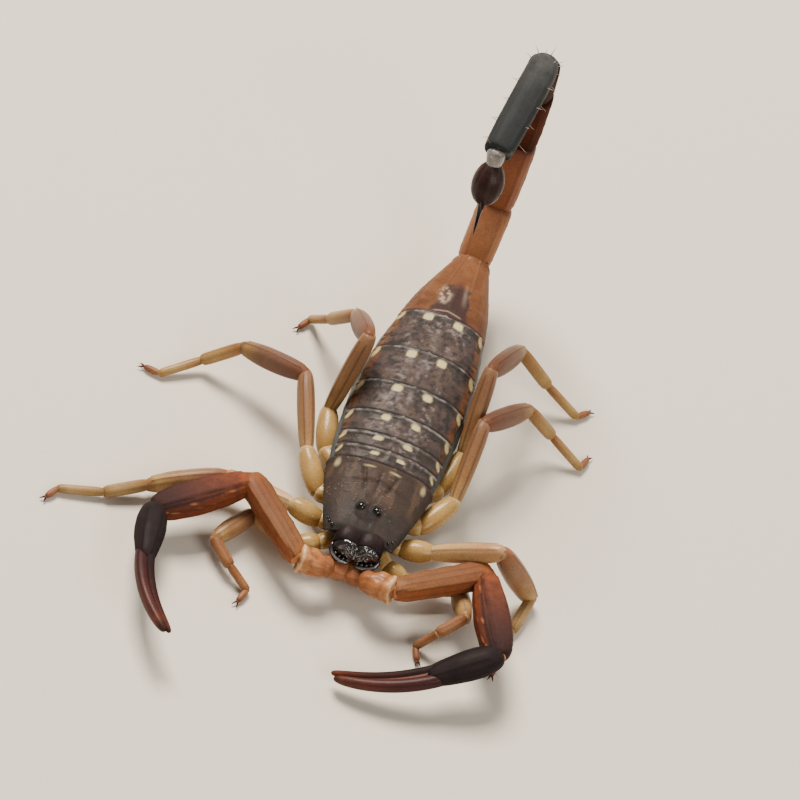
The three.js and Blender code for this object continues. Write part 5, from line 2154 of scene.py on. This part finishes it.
@dataclass
class Underside:
    """The bases of the limbs round the breastplate, the genital plates and the combs."""

    teeth: int = 18
    comb_length: float = 5.2
    comb_heading: float = 57.0

    def coxa(
        self, name: str, start: Vector, end: Vector, sizes: Sequence[float], shell: Cuticle, slot: str
    ) -> None:
        """Builds one limb base between two points.

        Args:
            name: Name of the piece.
            start: Inner end, in millimetres.
            end: Outer end.
            sizes: Half width at the start and the end, and the half height.
            shell: Its finish.
            slot: Its material slot.
        """
        way = end - start
        n = way.length
        near, far, high = sizes
        piece = Article(
            n,
            outline(
                (-0.25, near * 0.4, high * 0.4), (0.0, near * 0.8, high * 0.75),
                (n * 0.35, near + (far - near) * 0.35, high), (n * 0.75, far, high * 0.95),
                (n, far * 0.9, high * 0.85), (n + 0.2, far * 0.5, high * 0.5),
            ),
            crests((140, 0.05, 12), (-140, 0.05, 12), grains=0.2),
            square=2.6, around=12,
        ).shape(name)
        heading = math.degrees(math.atan2(way.x, way.y))
        pitch = math.degrees(math.asin(way.z / n))
        finish(piece, shell, slot, at=frame_at(start, heading, pitch))

    def bases(self) -> None:
        """Builds the bases of the arms and the legs."""
        inner = ((0.75, -0.4, 2.75), (0.75, 0.9, 2.75), (1.0, 2.4, 2.8), (1.2, 3.6, 2.85))
        sizes = ((0.5, 0.66, 0.62), (0.62, 0.8, 0.72), (0.68, 0.82, 0.78), (0.72, 0.86, 0.82))
        for side in Side:
            s = side.value
            for plan, (x, y, z), size in zip(LEG_PLANS, inner, sizes):
                hip = Vector((s * plan.hip[0], plan.hip[1], plan.hip[2]))
                name = f"leg_{plan.number}_coxa_{side.label}"
                self.coxa(name, Vector((s * x, y, z)), hip, size, LEG_ROOT_SHELL, "belly_cuticle")
            start, lobe = Vector((s * 1.0, -0.9, 2.85)), Vector((s * 0.66, -4.4, 2.3))
            name = f"arm_coxa_{side.label}"
            self.coxa(name, start, lobe, (0.8, 1.0, 0.74), ARM_COXA_SHELL, "arm_root_cuticle")

    def breastplate(self) -> None:
        """Builds the small breastplate and the genital plates between the limb bases."""
        plate = Article(
            1.9,
            outline(
                (-0.1, 0.15, 0.1), (0.1, 0.3, 0.2), (0.8, 0.55, 0.3), (1.6, 0.75, 0.32),
                (1.9, 0.6, 0.2),
            ),
            square=2.3, around=12,
        ).shape("breastplate")
        at = Matrix.Translation((0, 1.6, 2.15))
        finish(plate, BELLY_PLATE, "belly_cuticle", ["coxosternum"], at)
        for side in Side:
            door = Article(
                1.5,
                outline(
                    (-0.1, 0.3, 0.12), (0.15, 0.6, 0.2), (0.8, 0.72, 0.24), (1.35, 0.5, 0.2),
                    (1.5, 0.25, 0.1),
                ),
                square=2.2, around=12,
            ).shape(f"genital_plate_{side.label}")
            at = Matrix.Translation((side.value * 0.66, 3.9, 2.05))
            finish(door, BELLY_PLATE, "belly_cuticle", at=at)

    def comb(self, side: Side) -> None:
        """Builds one comb: a tapering spine and the row of teeth behind it."""
        length = self.comb_length
        spine = Article(
            length,
            outline(
                (-0.1, 0.2, 0.12), (0.1, 0.45, 0.2), (length * 0.33, 0.4, 0.2),
                (length * 0.66, 0.34, 0.19), (length, 0.18, 0.14), (length + 0.1, 0.08, 0.08),
            ),
            around=12,
        ).shape("spine")
        parts = [spine]
        rows = ((0.0, 0.1, 0.1), (0.25, 0.115, 0.11), (0.75, 0.12, 0.13), (0.92, 0.06, 0.07))
        tooth = refine(loft("tooth", outline(*rows), 8), 1)
        tag(tooth, "along", np.clip(positions(tooth)[:, 1], 0, 1), 0.0, 0.0)
        tag(tooth, "zones", 0.0, 0.0, 0.0)
        for k in range(self.teeth):
            share = (k + 0.5) / self.teeth
            copy = twin(tooth, f"tooth_{k}")
            # Teeth stand out of the rear edge, which is the -x side of the left comb on the bench.
            at = Matrix.Translation((-0.3, 0.15 + length * share, 0.0))
            turn = Matrix.Rotation(math.radians(90), 4, "Z")
            size = 0.8 + 0.35 * math.sin(math.pi * share)
            copy.data.transform(at @ turn @ Matrix.Diagonal((1, size, 1, 1)))
            parts.append(copy)
        discard([tooth])
        comb = merged(f"comb_{side.label}", parts)
        if side is Side.RIGHT:
            mirrored(comb)
        inner = Vector((side.value * 0.3, 5.75, 1.72))
        here = frame_at(inner, side.value * self.comb_heading, 0)
        finish(comb, COMB, "comb_cuticle", [f"pecten_{side.label}"], here)

    def build(self) -> None:
        """Builds the limb bases, the plates and the combs."""
        self.bases()
        self.breastplate()
        for side in Side:
            self.comb(side)


# ---------------------------------------------------------------- studio


@dataclass
class Studio:
    """The pale floor, soft lights and the camera."""

    elevation: float = 47.0
    roll: float = 19.5
    distance: float = 320.0
    across: float = -0.5294
    above: float = 8.3162
    field_mm: float = 58.82
    sensor_mm: float = 36.0

    def floor(self) -> None:
        """A matt pale floor that reaches past the view."""
        deselect()
        bpy.ops.mesh.primitive_plane_add(size=3.0, location=(0, 0, 0))
        floor = bpy.context.object
        floor.name = "studio_floor"
        material = bpy.data.materials.new("studio_paper_matt")
        material.use_nodes = True
        shader = material.node_tree.nodes["Principled BSDF"]
        # Heavy matt background paper, faintly mottled by its pulp.
        tree = material.node_tree
        where = add_node(tree, "ShaderNodeTexCoord", {}).outputs["Object"]
        pulp = add_node(tree, "ShaderNodeTexNoise", {"Vector": where, "Scale": 900.0, "Detail": 2.0})
        tone = add_node(
            tree,
            "ShaderNodeMix",
            {"Factor": pulp.outputs["Fac"], "A": linear("#d8d2c6"), "B": linear("#dcd6cb")},
            data_type="RGBA",
        )
        tree.links.new(tone.outputs["Result"], shader.inputs["Base Color"])
        shader.inputs["Roughness"].default_value = 0.9
        shader.inputs["Specular IOR Level"].default_value = 0.2
        floor.data.materials.append(material)

    def light(self, name: str, at: Sequence[float], size: float, power: float, colour: str) -> None:
        """Adds one softbox aimed at the animal.

        Args:
            name: Name of the light.
            at: Where it hangs, in metres.
            size: Edge length, in metres.
            power: In watts.
            colour: Its tint.
        """
        lamp = bpy.data.lights.new(name, "AREA")
        lamp.shape = "SQUARE"
        lamp.size = size
        lamp.energy = power
        lamp.color = linear(colour)[:3]
        holder = bpy.data.objects.new(name, lamp)
        holder.location = at
        aim = Vector((0, 0, 0.005)) - Vector(at)
        holder.rotation_euler = aim.to_track_quat("-Z", "Y").to_euler()
        bpy.context.scene.collection.objects.link(holder)

    def camera(self) -> None:
        """Places the camera in front of and above the head, rolled to one side."""
        e = math.radians(self.elevation)
        ahead = Vector((0, math.cos(e), -math.sin(e)))
        right = Vector((1, 0, 0))
        upper = Vector((0, math.sin(e), math.cos(e)))
        at = eye_middle() / MM - self.distance * ahead + self.across * right + self.above * upper
        roll = math.radians(self.roll)
        x = math.cos(roll) * right + math.sin(roll) * upper
        y = -math.sin(roll) * right + math.cos(roll) * upper
        turn = Matrix((x, y, -ahead)).transposed().to_4x4()
        data = bpy.data.cameras.new("camera")
        data.sensor_width = self.sensor_mm
        data.lens = self.sensor_mm * self.distance / self.field_mm
        data.clip_start = 0.01
        data.clip_end = 20.0
        holder = bpy.data.objects.new("camera", data)
        holder.matrix_world = Matrix.Translation(at * MM) @ turn
        bpy.context.scene.collection.objects.link(holder)
        bpy.context.scene.camera = holder

    def build(self) -> None:
        """Sets up the floor, the lights and the camera."""
        self.floor()
        self.light("key_softbox", (-0.16, 0.24, 0.46), 0.22, 7.0, "#fff1e2")
        self.light("fill_softbox", (0.4, -0.4, 0.42), 0.3, 2.6, "#fff6ea")
        self.light("rim_softbox", (0.4, 0.4, 0.3), 0.3, 0.7, "#ffffff")
        world = bpy.data.worlds.new("studio_world")
        world.use_nodes = True
        background = world.node_tree.nodes["Background"]
        background.inputs["Color"].default_value = linear("#f1ece6")
        background.inputs["Strength"].default_value = 0.3
        bpy.context.scene.world = world
        self.camera()


def main() -> None:
    """Builds the animal and the studio."""
    logging.basicConfig(level=logging.INFO, format="%(name)s %(message)s")
    Trunk().build()
    Head().build()
    Underside().build()
    Tail().build()
    for arm in ARMS:
        arm.build()
    Legs().build()
    Studio().build()


if __name__ == "__main__":
    main()
